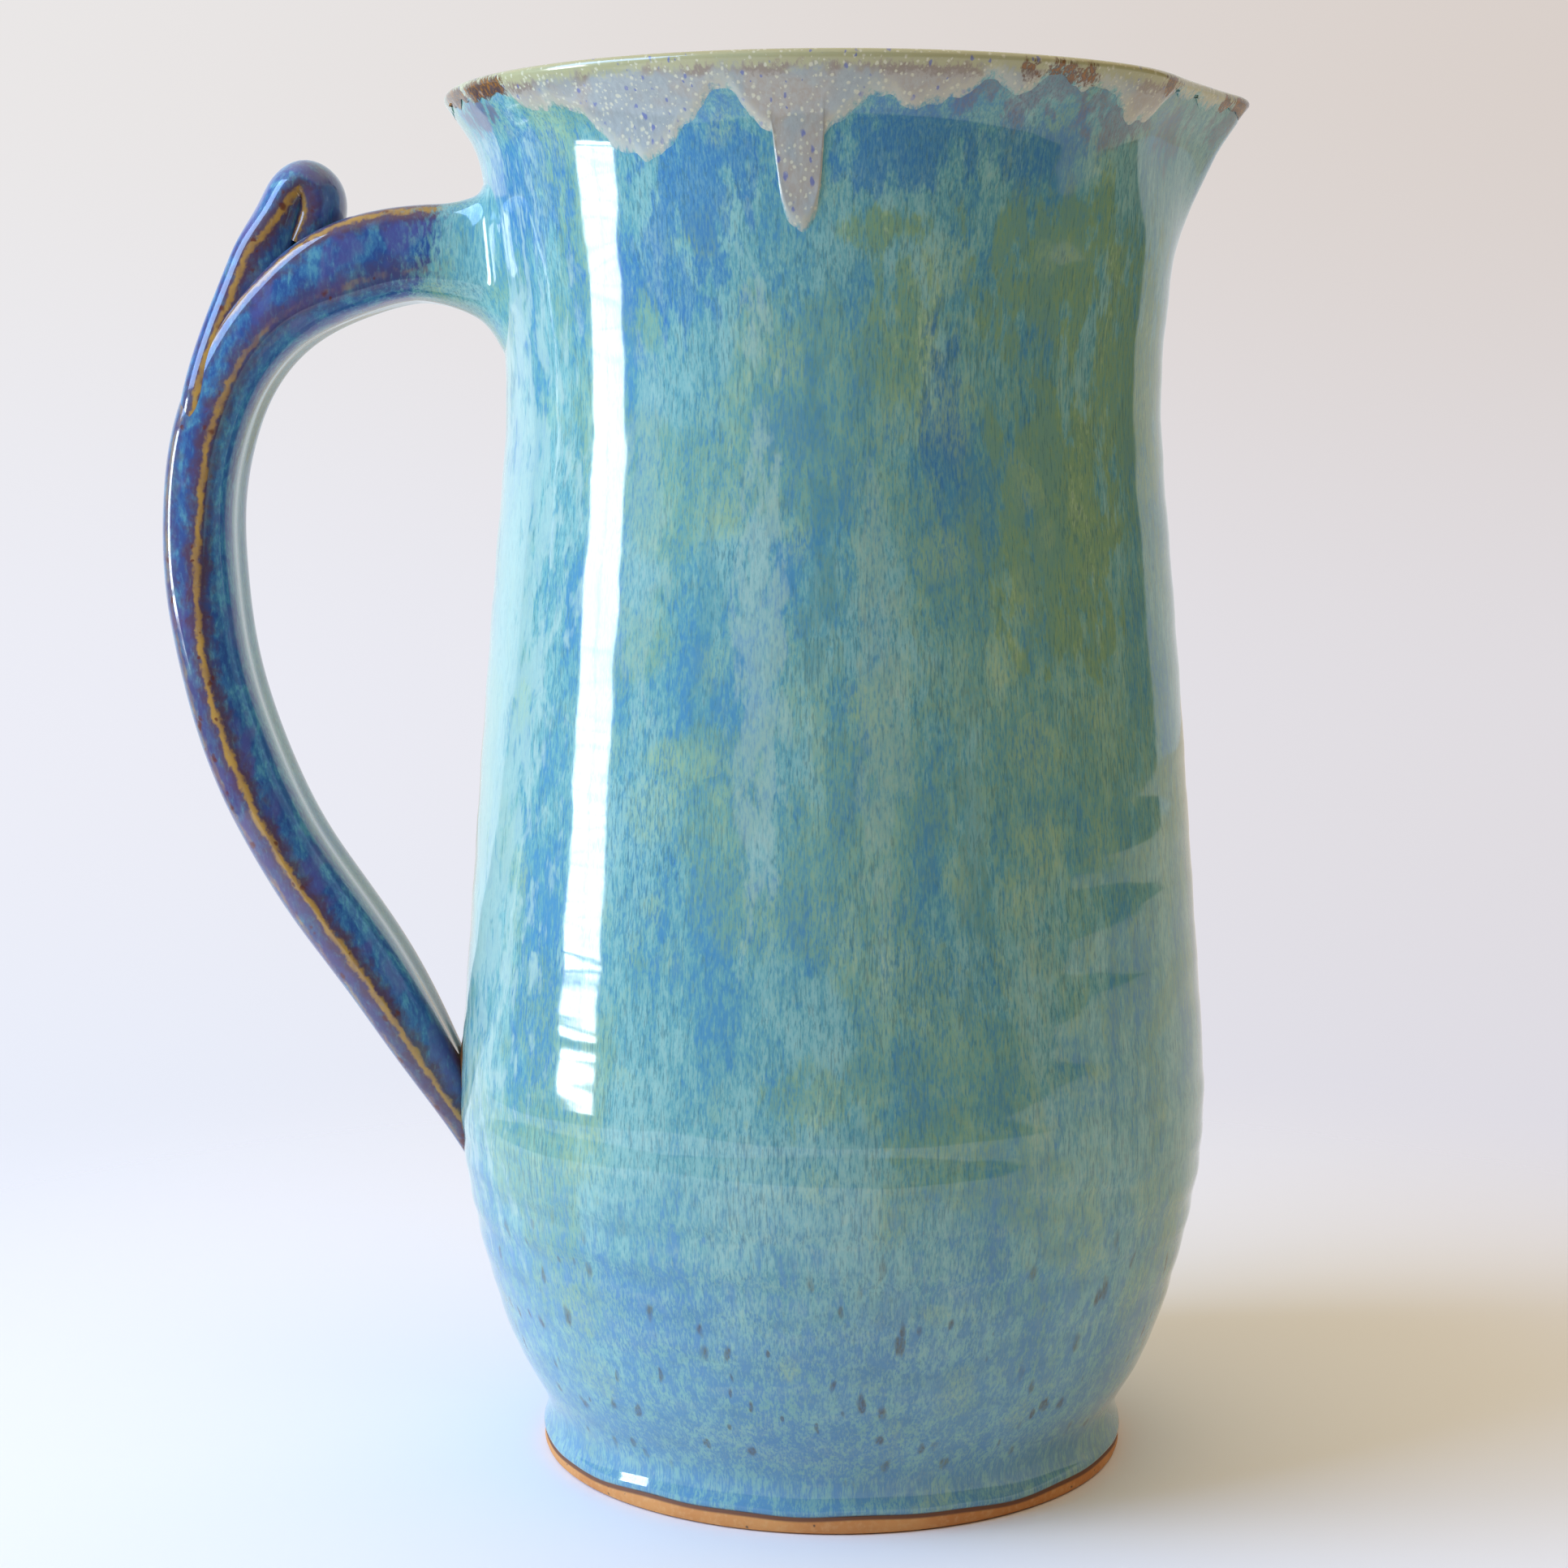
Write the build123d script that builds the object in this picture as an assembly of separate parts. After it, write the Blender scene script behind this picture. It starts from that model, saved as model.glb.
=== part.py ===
from build123d import *
import math
import os

# A wheel-thrown stoneware pitcher with a pulled spout, a strap handle with a curled
# thumb rest, and its coats of glaze, each physical piece in a node of its own.
# Frame: millimetres, +Z up, origin at the centre of the foot's resting face.
# The spout points along +X and the handle stands out along -X, in the plane y = 0.

# Driving dimensions, mm
RIM_HEIGHT = 240.0  # top of the glazed rim above the table
FOOT_RADIUS = 52.5  # bare clay foot
BELLY_RADIUS = 66.1  # widest clay, low on the wall
NECK_RADIUS = 56.5  # narrowest clay, under the flared rim
MOUTH_RADIUS = 66.4  # clay rim on the handle side
SPOUT_REACH = 5.0  # how far the spout's tip passes the mouth's circle
SPOUT_PINCH = 2.2  # how far the potter's fingers press in beside the spout
BEAK_ANGLE = 9.0  # half width of the spout's beak, degrees
PINCH_ANGLE = 26.0  # where the fingers pressed, degrees from the spout
PINCH_WIDTH = 12.0  # how wide that press is, degrees
SPOUT_LOW = 210.0  # the wall starts to turn into the spout here
SPOUT_FULL = 234.0  # and has the spout's whole shape here

FOOT_RECESS_RADIUS = 45.0  # turned hollow inside the foot ring
FOOT_RECESS_DEPTH = 3.0
FLOOR_HEIGHT = 10.0  # inside floor above the table
FLOOR_CORNER = 2.0  # height over the floor up to which the liner lies on the floor

WALL_COAT = 0.8  # glaze thicknesses
RIM_COAT = 0.6
LINER_COAT = 0.8
HANDLE_COAT = 0.6
GLAZE_START = 3.0  # bare clay below this height
RIM_COAT_START = 232.0  # lower edge of the pale rim glaze between its drips

STRAP_WIDTH = 27.0  # handle, across its gold-edged arrises
STRAP_THICK = 12.6
TAIL_WIDTH = 13.0  # the pressed lower end
TAIL_THICK = 8.0
TAIL_SHARE = 0.80  # share of the strap's length before it narrows to its tail
TAIL_CURVE = 1.5  # over 1 makes the narrowing start gently
THUMB_WIDTH = 22.0  # the curled thumb rest
THUMB_ROUND = 4.2  # rounding of its edges
ROOT_FLARE = 9.0  # how far the clay at the upper root spreads on the wall
ROOT_LENGTH = 15.0  # how far it runs out along the handle
ROOT_INSIDE = 8.0  # length of the same clay that is sunk in the wall
ROOT_START = 0.025  # share of the handle's line where that clay starts
ROOT_LEAST = 0.4  # how far it stands over the strap at its outer end
ROOT_CURVE = 2.2  # over 1 makes the flare hollow
PAD_SIZE = (7.0, 11.5, 17.0)  # half sizes of the clay pressed out under the tail
PAD_PLACE = (-64.5, 0.0, 68.0)
PAD_TILT = 8.0  # degrees that it leans with the wall

# Clay wall, (height, radius), from the foot up to the rim on the handle side
CLAY_TOP = RIM_HEIGHT - RIM_COAT
WALL = [
    (0.0, FOOT_RADIUS),
    (3.0, 52.1),
    (8.0, 51.0),
    (16.0, 54.8),
    (28.0, 59.8),
    (42.0, 63.5),
    (60.0, BELLY_RADIUS),
    (78.0, 65.4),
    (98.0, 63.7),
    (140.0, 60.4),
    (168.0, 57.9),
    (190.0, NECK_RADIUS),
    (204.0, 57.4),
    (216.0, 58.8),
    (226.0, 60.3),
    (232.0, 62.2),
    (236.8, MOUTH_RADIUS - 0.5),
    (CLAY_TOP - 1.0, MOUTH_RADIUS),
    (CLAY_TOP, MOUTH_RADIUS - 1.0),
]

# Inside of the clay, (height, radius), from the floor's rounded corner up to the mouth
CAVITY = [
    (FLOOR_HEIGHT, 42.0),
    (FLOOR_HEIGHT + 1.2, 46.0),
    (FLOOR_HEIGHT + 6.0, 49.4),
    (28.0, 53.6),
    (42.0, 57.6),
    (60.0, 60.6),
    (78.0, 60.0),
    (98.0, 58.5),
    (140.0, 55.4),
    (168.0, 53.0),
    (190.0, 51.5),
    (204.0, 52.7),
    (216.0, 54.3),
    (226.0, 56.1),
    (232.0, 58.2),
    (236.8, 60.9),
    (CLAY_TOP - 1.0, 62.0),
    (CLAY_TOP, 63.0),
]

# Middle of the handle's strap, (x, z), from inside the wall over the arch to the tail
HANDLE_LINE = [
    (-50.0, 215.5),
    (-62.0, 216.2),
    (-74.0, 215.0),
    (-86.0, 211.0),
    (-97.0, 204.0),
    (-106.0, 193.0),
    (-111.5, 179.0),
    (-112.8, 163.0),
    (-110.8, 145.0),
    (-104.8, 124.5),
    (-94.2, 104.2),
    (-82.0, 86.5),
    (-72.0, 69.5),
    (-62.5, 55.5),
]
HANDLE_STATIONS = 22  # sections along the strap
ROOT_STATIONS = 5  # sections along the flared clay at its root

# Side outline of the thumb rest, (x, z): up its back, over the curl, down to the arch
THUMB_OUTLINE = [
    (-108.5, 200.0),
    (-106.6, 207.6),
    (-103.2, 215.2),
    (-98.0, 224.8),
    (-92.2, 229.2),
    (-87.2, 227.8),
    (-85.4, 223.6),
    (-87.6, 217.2),
    (-93.0, 212.0),
    (-101.0, 203.0),
]

# Slices of the thumb rest, (share of its half width, share of the outline's size)
THUMB_SLICES = [
    (-1.0, 0.62),
    (-0.86, 0.84),
    (-0.6, 0.96),
    (0.0, 1.0),
    (0.6, 0.96),
    (0.86, 0.84),
    (1.0, 0.62),
]

# Drips of the rim glaze, (degrees about the axis, lowest height, half width in degrees)
DRIPS = [(-115.0, 223.5, 13.0), (-94.0, 214.5, 8.0), (-69.0, 230.0, 7.0), (118.0, 222.0, 12.0)]
DRIP_TIP = 0.18  # half width of a drip's rounded tip, as a share of its half width
DRIP_WAIST = 0.55  # the same at its waist, and how far up the waist is
DRIP_ROUND = 1.0  # height of the rounded tip


def ring_angles():
    """Angles of a section's points, in radians, closer together at the spout."""
    near = [0, 6, 12, 18, 25, 33, 43, 56, 72, 90, 108, 126, 144, 162]
    turned = near + [180] + [360 - a for a in reversed(near[1:])]
    return [math.radians(a) for a in turned]


def spout_share(height):
    """How much of the spout's shape the wall has at a height, from 0 to 1."""
    t = (height - SPOUT_LOW) / (SPOUT_FULL - SPOUT_LOW)
    t = min(max(t, 0.0), 1.0)
    return t * t * (3.0 - 2.0 * t)


def spout_offset(angle, height):
    """How far the wall stands out of its circle, because of the pulled spout."""
    turn = math.degrees(angle)
    turn = min(turn, 360.0 - turn)
    beak = math.exp(-((turn / BEAK_ANGLE) ** 2))
    pinch = math.exp(-(((turn - PINCH_ANGLE) / PINCH_WIDTH) ** 2))
    return spout_share(height) * (SPOUT_REACH * beak - SPOUT_PINCH * pinch)


def section(height, radius):
    """One level ring of the wall."""
    points = []
    for angle in ring_angles():
        reach = radius + spout_offset(angle, height)
        points.append((reach * math.cos(angle), reach * math.sin(angle), height))
    return Face(Wire([Spline(points, periodic=True)]))


def thrown(outline, grow=0.0, lift=0.0):
    """A solid pulled up through level rings, with its radii grown and its floor lifted."""
    rings = []
    for height, radius in outline:
        low = height < FLOOR_HEIGHT + FLOOR_CORNER
        rings.append(section(height + (lift if low else 0.0), radius + grow))
    return Solid(loft(rings).wrapped)


def slab(low, high):
    """A wide block between two heights."""
    size = 400.0
    middle = Pos(0, 0, (low + high) / 2)
    return middle * Box(size, size, high - low)


def strap_section(width, thick, grow):
    """The handle's section: a crowned outer face, an arris each side, a flatter inner face."""
    half = width / 2 + grow
    deep = thick / 2 + grow
    side = [
        (0.34 * half, 0.88 * deep),
        (0.74 * half, 0.56 * deep),
        (1.00 * half, 0.12 * deep),
        (0.92 * half, -0.42 * deep),
        (0.66 * half, -0.88 * deep),
        (0.30 * half, -1.00 * deep),
    ]
    points = [(0.0, deep)] + side + [(0.0, -deep)]
    points += [(-y, n) for y, n in reversed(side)]
    return Face(Wire([Spline(points, periodic=True)]))


def handle_plane(line, share):
    """The plane across the handle's line at a share of its length."""
    along = line % share
    return Plane(origin=line @ share, x_dir=(0, -1, 0), z_dir=along)


def handle_line():
    return Spline([(x, 0, z) for x, z in HANDLE_LINE])


def strap(grow=0.0):
    """The pulled strap, from inside the wall round to its tail."""
    line = handle_line()
    rings = []
    for i in range(HANDLE_STATIONS):
        share = i / (HANDLE_STATIONS - 1)
        narrow = max(0.0, (share - TAIL_SHARE) / (1.0 - TAIL_SHARE)) ** TAIL_CURVE
        width = STRAP_WIDTH + (TAIL_WIDTH - STRAP_WIDTH) * narrow
        thick = STRAP_THICK + (TAIL_THICK - STRAP_THICK) * narrow
        rings.append(handle_plane(line, share) * strap_section(width, thick, grow))
    return Solid(loft(rings).wrapped)


def root_collar(grow=0.0):
    """Clay smoothed round the upper root, widest where it meets the wall."""
    line = handle_line()
    rings = []
    for i in range(ROOT_STATIONS):
        out = i / (ROOT_STATIONS - 1)
        share = ROOT_START + out * (ROOT_LENGTH + ROOT_INSIDE) / line.length
        spread = ROOT_LEAST + ROOT_FLARE * (1.0 - out) ** ROOT_CURVE
        ring = strap_section(STRAP_WIDTH, STRAP_THICK, spread + grow)
        rings.append(handle_plane(line, share) * ring)
    return Solid(loft(rings).wrapped)


def tail_pad(grow=0.0):
    """The slip and clay squeezed out under the tail."""
    pad = scale(Sphere(1.0), by=tuple(half + grow for half in PAD_SIZE))
    return Pos(*PAD_PLACE) * Rot(0, PAD_TILT, 0) * pad


def thumb_slice(across, share, grow):
    """The thumb rest's side outline at a distance across it, drawn in towards its middle."""
    middle_x = sum(x for x, z in THUMB_OUTLINE) / len(THUMB_OUTLINE)
    middle_z = sum(z for x, z in THUMB_OUTLINE) / len(THUMB_OUTLINE)
    points = []
    for x, z in THUMB_OUTLINE:
        out = math.hypot(x - middle_x, z - middle_z)
        reach = share * out - THUMB_ROUND * (1.0 - share) + grow
        points.append(
            (middle_x + (x - middle_x) * reach / out, across, middle_z + (z - middle_z) * reach / out)
        )
    return Face(Wire([Spline(points, periodic=True)]))


def thumb_block(grow=0.0):
    """The strap end curled over into a thumb rest, a pillow of side outlines."""
    half = THUMB_WIDTH / 2 + grow
    slices = []
    for across, share in THUMB_SLICES:
        slices.append(thumb_slice(across * half, share, grow))
    return Solid(loft(slices).wrapped)


def one_solid(shape):
    """The largest solid of a cut, so that no crumb is left beside it."""
    return max(shape.solids(), key=lambda s: s.volume)


def drip_cutter(angle, low, half_width):
    """A wedge of space with a rounded V at its foot, as tall as a drip of rim glaze."""
    reach = 90.0
    side = reach * math.tan(math.radians(half_width))
    top = RIM_COAT_START + DRIP_ROUND
    tip = (DRIP_TIP * side, low + DRIP_ROUND)
    waist = (DRIP_WAIST * side, low + DRIP_WAIST * (top - low))
    right = [tip, waist, (side, top)]
    left = [(-across, height) for across, height in reversed(right)]
    outline = Polyline(*left, (0, low), *right, close=True)
    wedge = extrude(Plane.YZ * make_face(outline), amount=reach)
    return Rot(0, 0, angle) * wedge


def glazed_top(outline):
    """The same outline with its last ring raised by the coat over the lip."""
    return outline[:-1] + [(RIM_HEIGHT, outline[-1][1])]


def clay_parts():
    """The lumps of clay that the potter joined."""
    outside = thrown(WALL)
    flat = (Align.CENTER, Align.CENTER, Align.MIN)
    recess = Cylinder(FOOT_RECESS_RADIUS, FOOT_RECESS_DEPTH, align=flat)
    handle = one_solid(strap() - outside)
    return {
        "thrown_body": one_solid(outside - thrown(CAVITY) - recess),
        "handle": handle,
        "thumb_rest": one_solid(thumb_block() - handle),
        "upper_handle_joint": one_solid(root_collar() - outside - handle),
        "lower_handle_joint": one_solid(tail_pad() - outside - handle),
    }


def rim_glaze(body, wall_outside):
    """The pale coat over the lip, inside and out, with its drips."""
    outside = thrown(glazed_top(WALL), WALL_COAT + RIM_COAT)
    mouth = thrown(glazed_top(CAVITY), -LINER_COAT, LINER_COAT)
    coat = (outside - mouth - body) & slab(RIM_COAT_START, RIM_HEIGHT)
    skin = outside - wall_outside
    for angle, low, half_width in DRIPS:
        coat = coat + (skin & drip_cutter(angle, low, half_width))
    return one_solid(coat)


def glaze_parts(clay):
    """The coats of glaze, each a closed skin on the clay."""
    wall_outside = thrown(WALL, WALL_COAT)
    wall = (wall_outside - thrown(WALL)) & slab(GLAZE_START, RIM_COAT_START)
    liner = (thrown(CAVITY) - thrown(CAVITY, -LINER_COAT, LINER_COAT)) & slab(0, RIM_COAT_START)
    coat = strap(HANDLE_COAT) + thumb_block(HANDLE_COAT)
    coat = coat + root_collar(HANDLE_COAT) + tail_pad(HANDLE_COAT)
    coat = coat - wall_outside
    for name, piece in clay.items():
        if name != "thrown_body":
            wall = wall - piece
            coat = coat - piece
    return {
        "wall_glaze": one_solid(wall),
        "liner_glaze": one_solid(liner),
        "handle_glaze": one_solid(coat),
        "rim_glaze": rim_glaze(clay["thrown_body"], wall_outside),
    }


def main():
    os.makedirs("parts", exist_ok=True)
    clay = clay_parts()
    for name, shape in {**clay, **glaze_parts(clay)}.items():
        shape.label = name
        export_step(shape, f"parts/{name}.step")
        print(name, round(shape.volume), "mm3", "valid" if shape.is_valid else "not valid")


main()
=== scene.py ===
# %% [markdown]
# # A stoneware pitcher, thrown, pulled and glazed
# The pitcher is one fired pot. A potter throws the body on a wheel and pulls a spout from
# its rim. A strap of clay becomes the handle, and the strap's end is curled over into a
# thumb rest. Three glazes cover it: a streaked blue-green one on the wall and the handle,
# a pale one that runs down in drips from the lip, and a liner inside. Only the foot stays
# bare. Each lump of clay and each coat of glaze is a piece of its own here.
#
# The CAD frame comes first, because every piece has to sit where its node sits.

# %% Load the frame
import math
from contextlib import contextmanager

import bpy
import numpy as np
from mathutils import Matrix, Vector, noise


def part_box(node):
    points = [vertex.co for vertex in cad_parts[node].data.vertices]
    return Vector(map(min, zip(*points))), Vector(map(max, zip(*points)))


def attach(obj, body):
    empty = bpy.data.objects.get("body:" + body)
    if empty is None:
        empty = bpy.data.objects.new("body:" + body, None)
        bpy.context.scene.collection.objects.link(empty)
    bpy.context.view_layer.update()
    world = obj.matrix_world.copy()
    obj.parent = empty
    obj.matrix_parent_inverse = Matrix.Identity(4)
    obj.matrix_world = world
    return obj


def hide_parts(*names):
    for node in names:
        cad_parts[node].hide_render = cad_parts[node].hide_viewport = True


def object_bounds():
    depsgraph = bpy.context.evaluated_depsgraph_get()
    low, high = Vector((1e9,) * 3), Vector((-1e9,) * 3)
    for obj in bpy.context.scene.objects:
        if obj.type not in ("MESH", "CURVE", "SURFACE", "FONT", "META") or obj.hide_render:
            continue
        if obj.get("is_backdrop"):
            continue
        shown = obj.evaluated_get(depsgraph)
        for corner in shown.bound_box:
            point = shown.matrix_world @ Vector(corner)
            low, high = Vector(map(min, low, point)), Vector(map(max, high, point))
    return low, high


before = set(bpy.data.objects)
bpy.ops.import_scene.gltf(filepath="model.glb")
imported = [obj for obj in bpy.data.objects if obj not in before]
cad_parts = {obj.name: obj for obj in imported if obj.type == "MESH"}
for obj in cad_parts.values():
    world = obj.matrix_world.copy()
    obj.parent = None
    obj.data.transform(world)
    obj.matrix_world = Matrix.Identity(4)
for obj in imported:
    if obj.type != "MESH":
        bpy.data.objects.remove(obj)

MM = 0.001  # the scene is in metres, and a potter's sizes are easier to read in millimetres
cad_low, cad_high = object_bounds()
rim_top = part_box("rim_glaze")[1].z
print("CAD box", [round(v, 4) for v in cad_low], [round(v, 4) for v in cad_high])

# %% [markdown]
# ## The camera
# The camera stands a little over half a metre away, below the height of the rim, and tips
# down a few degrees.

# %% Camera
CAMERA_PLACE = Vector((-8.7, -510, 180)) * MM
CAMERA_TILT = math.radians(6.74)  # how far the lens looks down

bpy.ops.object.camera_add(location=CAMERA_PLACE, rotation=(math.pi / 2 - CAMERA_TILT, 0, 0))
camera = bpy.context.object
camera.name = "camera"
camera.data.lens = 65.65
camera.data.sensor_width = 36
camera.data.clip_start = 0.01
bpy.context.scene.camera = camera
bpy.context.scene.view_settings.view_transform = "Standard"
print("camera at", [round(v, 3) for v in camera.location])

# %% [markdown]
# ## Two helpers: pull a tube, then settle it on a form
# Clay on a wheel starts as a ring and is pulled up level by level. The helper below does
# the same: it adds a circle, extrudes it upwards once for each pull, and subdivides the
# upright edges. That gives an even net of quads. A second helper moves each point of the
# net to its place on a form, which is a function of the turn round the tube (an angle) and
# the level along it (0 to 1). The same pair makes the wall, the lip, the strap and the
# thumb rest. Sculpting would also work, but a form can be given to two pieces at once,
# such as the clay and the coat of glaze on it, so that they fit.


# %% Pull and settle
def only(piece):
    """Select one object and nothing else."""
    if bpy.context.object and bpy.context.object.mode != "OBJECT":
        bpy.ops.object.mode_set(mode="OBJECT")
    bpy.ops.object.select_all(action="DESELECT")
    piece.select_set(True)
    bpy.context.view_layer.objects.active = piece


@contextmanager
def editing(piece, action="SELECT", pick="EDGE"):
    """Edit mode on one piece, with everything selected or nothing."""
    only(piece)
    bpy.context.tool_settings.mesh_select_mode = (False, pick == "EDGE", pick == "FACE")
    bpy.ops.object.mode_set(mode="EDIT")
    if action:
        bpy.ops.mesh.select_all(action=action)
    yield
    bpy.ops.object.mode_set(mode="OBJECT")


def choose(piece, edge_test):
    """Select just the edges that pass a test of their two end points."""
    mesh = piece.data
    for part in (mesh.vertices, mesh.polygons):
        part.foreach_set("select", [False] * len(part))
    points = [v.co for v in mesh.vertices]
    mesh.edges.foreach_set(
        "select", [edge_test(points[e.vertices[0]], points[e.vertices[1]]) for e in mesh.edges]
    )


def pulled_tube(name, around, pulls, cuts):
    """An open upright tube of quads: a ring pulled up, then each pull cut into levels."""
    bpy.ops.object.select_all(action="DESELECT")
    bpy.ops.mesh.primitive_circle_add(vertices=around, radius=1.0, location=(0, 0, 0))
    piece = bpy.context.object
    piece.name = name
    piece.data.name = name
    with editing(piece):
        for _ in range(pulls):
            bpy.ops.mesh.extrude_region_move(TRANSFORM_OT_translate={"value": (0, 0, 1)})
    choose(piece, lambda a, b: abs(a.z - b.z) > 0.5)
    with editing(piece, action=None):
        if cuts:
            bpy.ops.mesh.subdivide(number_cuts=cuts)
        bpy.ops.mesh.select_all(action="SELECT")
        bpy.ops.mesh.normals_make_consistent(inside=False)
    return piece


def points_of(piece):
    """The mesh's points as an array with one row for each."""
    points = np.empty(len(piece.data.vertices) * 3)
    piece.data.vertices.foreach_get("co", points)
    return points.reshape(-1, 3)


def settle(piece, form):
    """Move each point of a pulled tube to form(turn, level)."""
    points = points_of(piece)
    turn = np.arctan2(points[:, 1], points[:, 0])
    level = points[:, 2] / points[:, 2].max()
    piece.data.vertices.foreach_set("co", np.stack(form(turn, level), axis=1).ravel())
    piece.data.update()


def smooth_edge(piece, angle=40):
    """Smooth shading, with a crease only at sharper turns than the angle."""
    only(piece)
    bpy.ops.object.shade_smooth_by_angle(angle=math.radians(angle))


def apply_modifier(piece, kind, **settings):
    """Add a modifier, set it and apply it."""
    only(piece)
    modifier = piece.modifiers.new(kind.title(), kind)
    for key, value in settings.items():
        setattr(modifier, key, value)
    bpy.ops.object.modifier_apply(modifier=modifier.name)


def close_ends(piece):
    """Fill each open end with a fan of faces round its middle."""
    with editing(piece, "DESELECT"):
        bpy.ops.mesh.select_non_manifold()
        bpy.ops.mesh.edge_face_add()
        bpy.ops.mesh.poke()
        bpy.ops.mesh.select_all(action="SELECT")
        bpy.ops.mesh.normals_make_consistent(inside=False)


def told(piece):
    """Print what a piece holds."""
    faces = sum(len(p.vertices) - 2 for p in piece.data.polygons)
    print(piece.name, "triangles", faces, "size mm", [round(d * 1000, 1) for d in piece.dimensions])


print("helpers ready")

# %% [markdown]
# ## The form of the wall
# A thrown wall is round, so one outline of radius against height says nearly all of it. A
# natural cubic spline through a few heights gives an outline with no kinks. Three things
# break the roundness: the spout, where the potter pulled a beak out and pressed a finger
# in on each side, the throwing rings that fingers leave in wet clay, and a slow wobble.


# %% Spline and outline
def spline(knots, values):
    """A natural cubic spline through the knots, as a function of an array."""
    x, y = np.array(knots, float), np.array(values, float)
    gap, rise = np.diff(x), np.diff(y)
    count = len(x)
    system, right = np.eye(count), np.zeros(count)
    for i in range(1, count - 1):
        system[i, i - 1:i + 2] = gap[i - 1], 2 * (gap[i - 1] + gap[i]), gap[i]
        right[i] = 3 * (rise[i] / gap[i] - rise[i - 1] / gap[i - 1])
    bend = np.linalg.solve(system, right)

    def at(t):
        t = np.clip(t, x[0], x[-1])
        i = np.clip(np.searchsorted(x, t) - 1, 0, count - 2)
        u = t - x[i]
        slope = rise[i] / gap[i] - gap[i] * (2 * bend[i] + bend[i + 1]) / 3
        return y[i] + slope * u + bend[i] * u**2 + (bend[i + 1] - bend[i]) / (3 * gap[i]) * u**3

    return at


def smooth_step(low, high, value):
    """0 below low, 1 above high, and a soft rise between."""
    t = np.clip((value - low) / (high - low), 0, 1)
    return t * t * (3 - 2 * t)


def bump(distance, width):
    """A soft bell that is 1 at no distance."""
    return np.exp(-((distance / width) ** 2))


# Height and radius of the glazed wall, in millimetres
WALL_OUTLINE = [
    (0, 52.6), (3, 52.6), (8, 51.9), (16, 55.5), (28, 60.5), (42, 64.2), (60, 66.75), (78, 66.1),
    (98, 64.5), (140, 61.2), (168, 58.7), (190, 57.3), (204, 58.2), (216, 59.6), (226, 61.1),
    (232, 63.0), (237, 66.3), (240, 67.9),
]
wall_radius = spline(*zip(*WALL_OUTLINE))

SPOUT_REACH = 4.9  # how far the beak stands out, mm
SPOUT_PINCH = 2.2  # how far the fingers pressed in beside it, mm


def degrees_from(turn, where):
    """Degrees between a turn in radians and a place in degrees, the short way round."""
    return (np.degrees(turn) - where + 180) % 360 - 180


def spout_offset(turn, height):
    """How far the pulled spout moves the wall out, in millimetres."""
    away = np.abs(degrees_from(turn, 0))
    shape = SPOUT_REACH * bump(away, 9) - SPOUT_PINCH * bump(away - 26, 12)
    return smooth_step(210, 234, height) * shape


def throwing_rings(turn, height):
    """Ridges that the potter's fingers left: stronger low on the belly, fading upwards."""
    wander = 1.6 * np.sin(turn + 0.7) + 0.9 * np.sin(2 * turn + 2.0)
    low_rings = np.sin((height + wander) * 2 * np.pi / 7.4) * bump(height - 50, 20)
    soft_rings = np.sin((height - 1.4 * wander) * 2 * np.pi / 12.5 + 1.0)
    fine_rings = np.sin((height + 0.6 * wander) * 2 * np.pi / 4.6 + 2.0)
    fade = smooth_step(4, 14, height) * (1 - smooth_step(224, 234, height))
    return fade * (0.13 * low_rings + 0.06 * soft_rings + 0.02 * fine_rings)


def dimples(turn, height, size, seed):
    """Gentle unevenness with dimples of a size in millimetres."""
    reach = 62.0 / size
    across = np.stack([np.cos(turn) * reach, np.sin(turn) * reach, height / size + seed], axis=1)
    return np.array([noise.noise(Vector(p)) for p in across])


def wall_form(turn, height):
    """Radius of the glazed wall in millimetres, at a turn and a height."""
    lopsided = 0.25 * np.sin(2 * turn + 1.1) * smooth_step(20, 90, height)
    lopsided = lopsided * (1 - smooth_step(200, 232, height))
    return wall_radius(height) + spout_offset(turn, height) + throwing_rings(turn, height) + lopsided


def ring(turn, radius, height):
    """Points at a turn, radius and height in millimetres, as scene coordinates."""
    return radius * np.cos(turn) * MM, radius * np.sin(turn) * MM, height * MM


print("belly", round(float(wall_radius(60.0)), 1), "neck", round(float(wall_radius(190.0)), 1))

# %% [markdown]
# ## The inside of the wall
# The wall is five or six millimetres thick, and the lip a little thinner. The inside has
# its own outline, which starts at the floor's rounded corner.

# %% Inside outline
FLOOR = 10.0
INSIDE_OUTLINE = [
    (FLOOR, 41.0), (FLOOR + 1.6, 45.6), (FLOOR + 6, 48.9), (28, 52.9), (42, 56.9), (60, 59.9),
    (78, 59.3), (98, 57.8), (140, 54.7), (168, 52.3), (190, 50.8), (204, 51.9), (216, 53.5),
    (226, 55.3), (232, 57.4), (237, 60.6),
]
inside_radius = spline(*zip(*INSIDE_OUTLINE))


def inside_form(turn, height):
    """Radius of the glazed inside in millimetres."""
    rings = 0.12 * np.sin((height + 1.5 * np.sin(turn)) * 2 * np.pi / 9.0)
    return inside_radius(height) + spout_offset(turn, height) + rings * smooth_step(20, 40, height)


print("inside at the belly", round(float(inside_radius(60.0)), 1))

# %% [markdown]
# ## Piece 1: the clay body
# The clay shows only at the foot, under the edge of the glaze, and underneath. It is still
# modelled whole, as a closed wall from the foot ring up over the lip and down to the
# floor, because it is what the glaze lies on. One pulled tube is long enough for the
# whole way round: its levels run from the middle of the underside, across the turned
# recess, over the foot ring, up the outside, over the lip and down to the middle inside.

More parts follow.
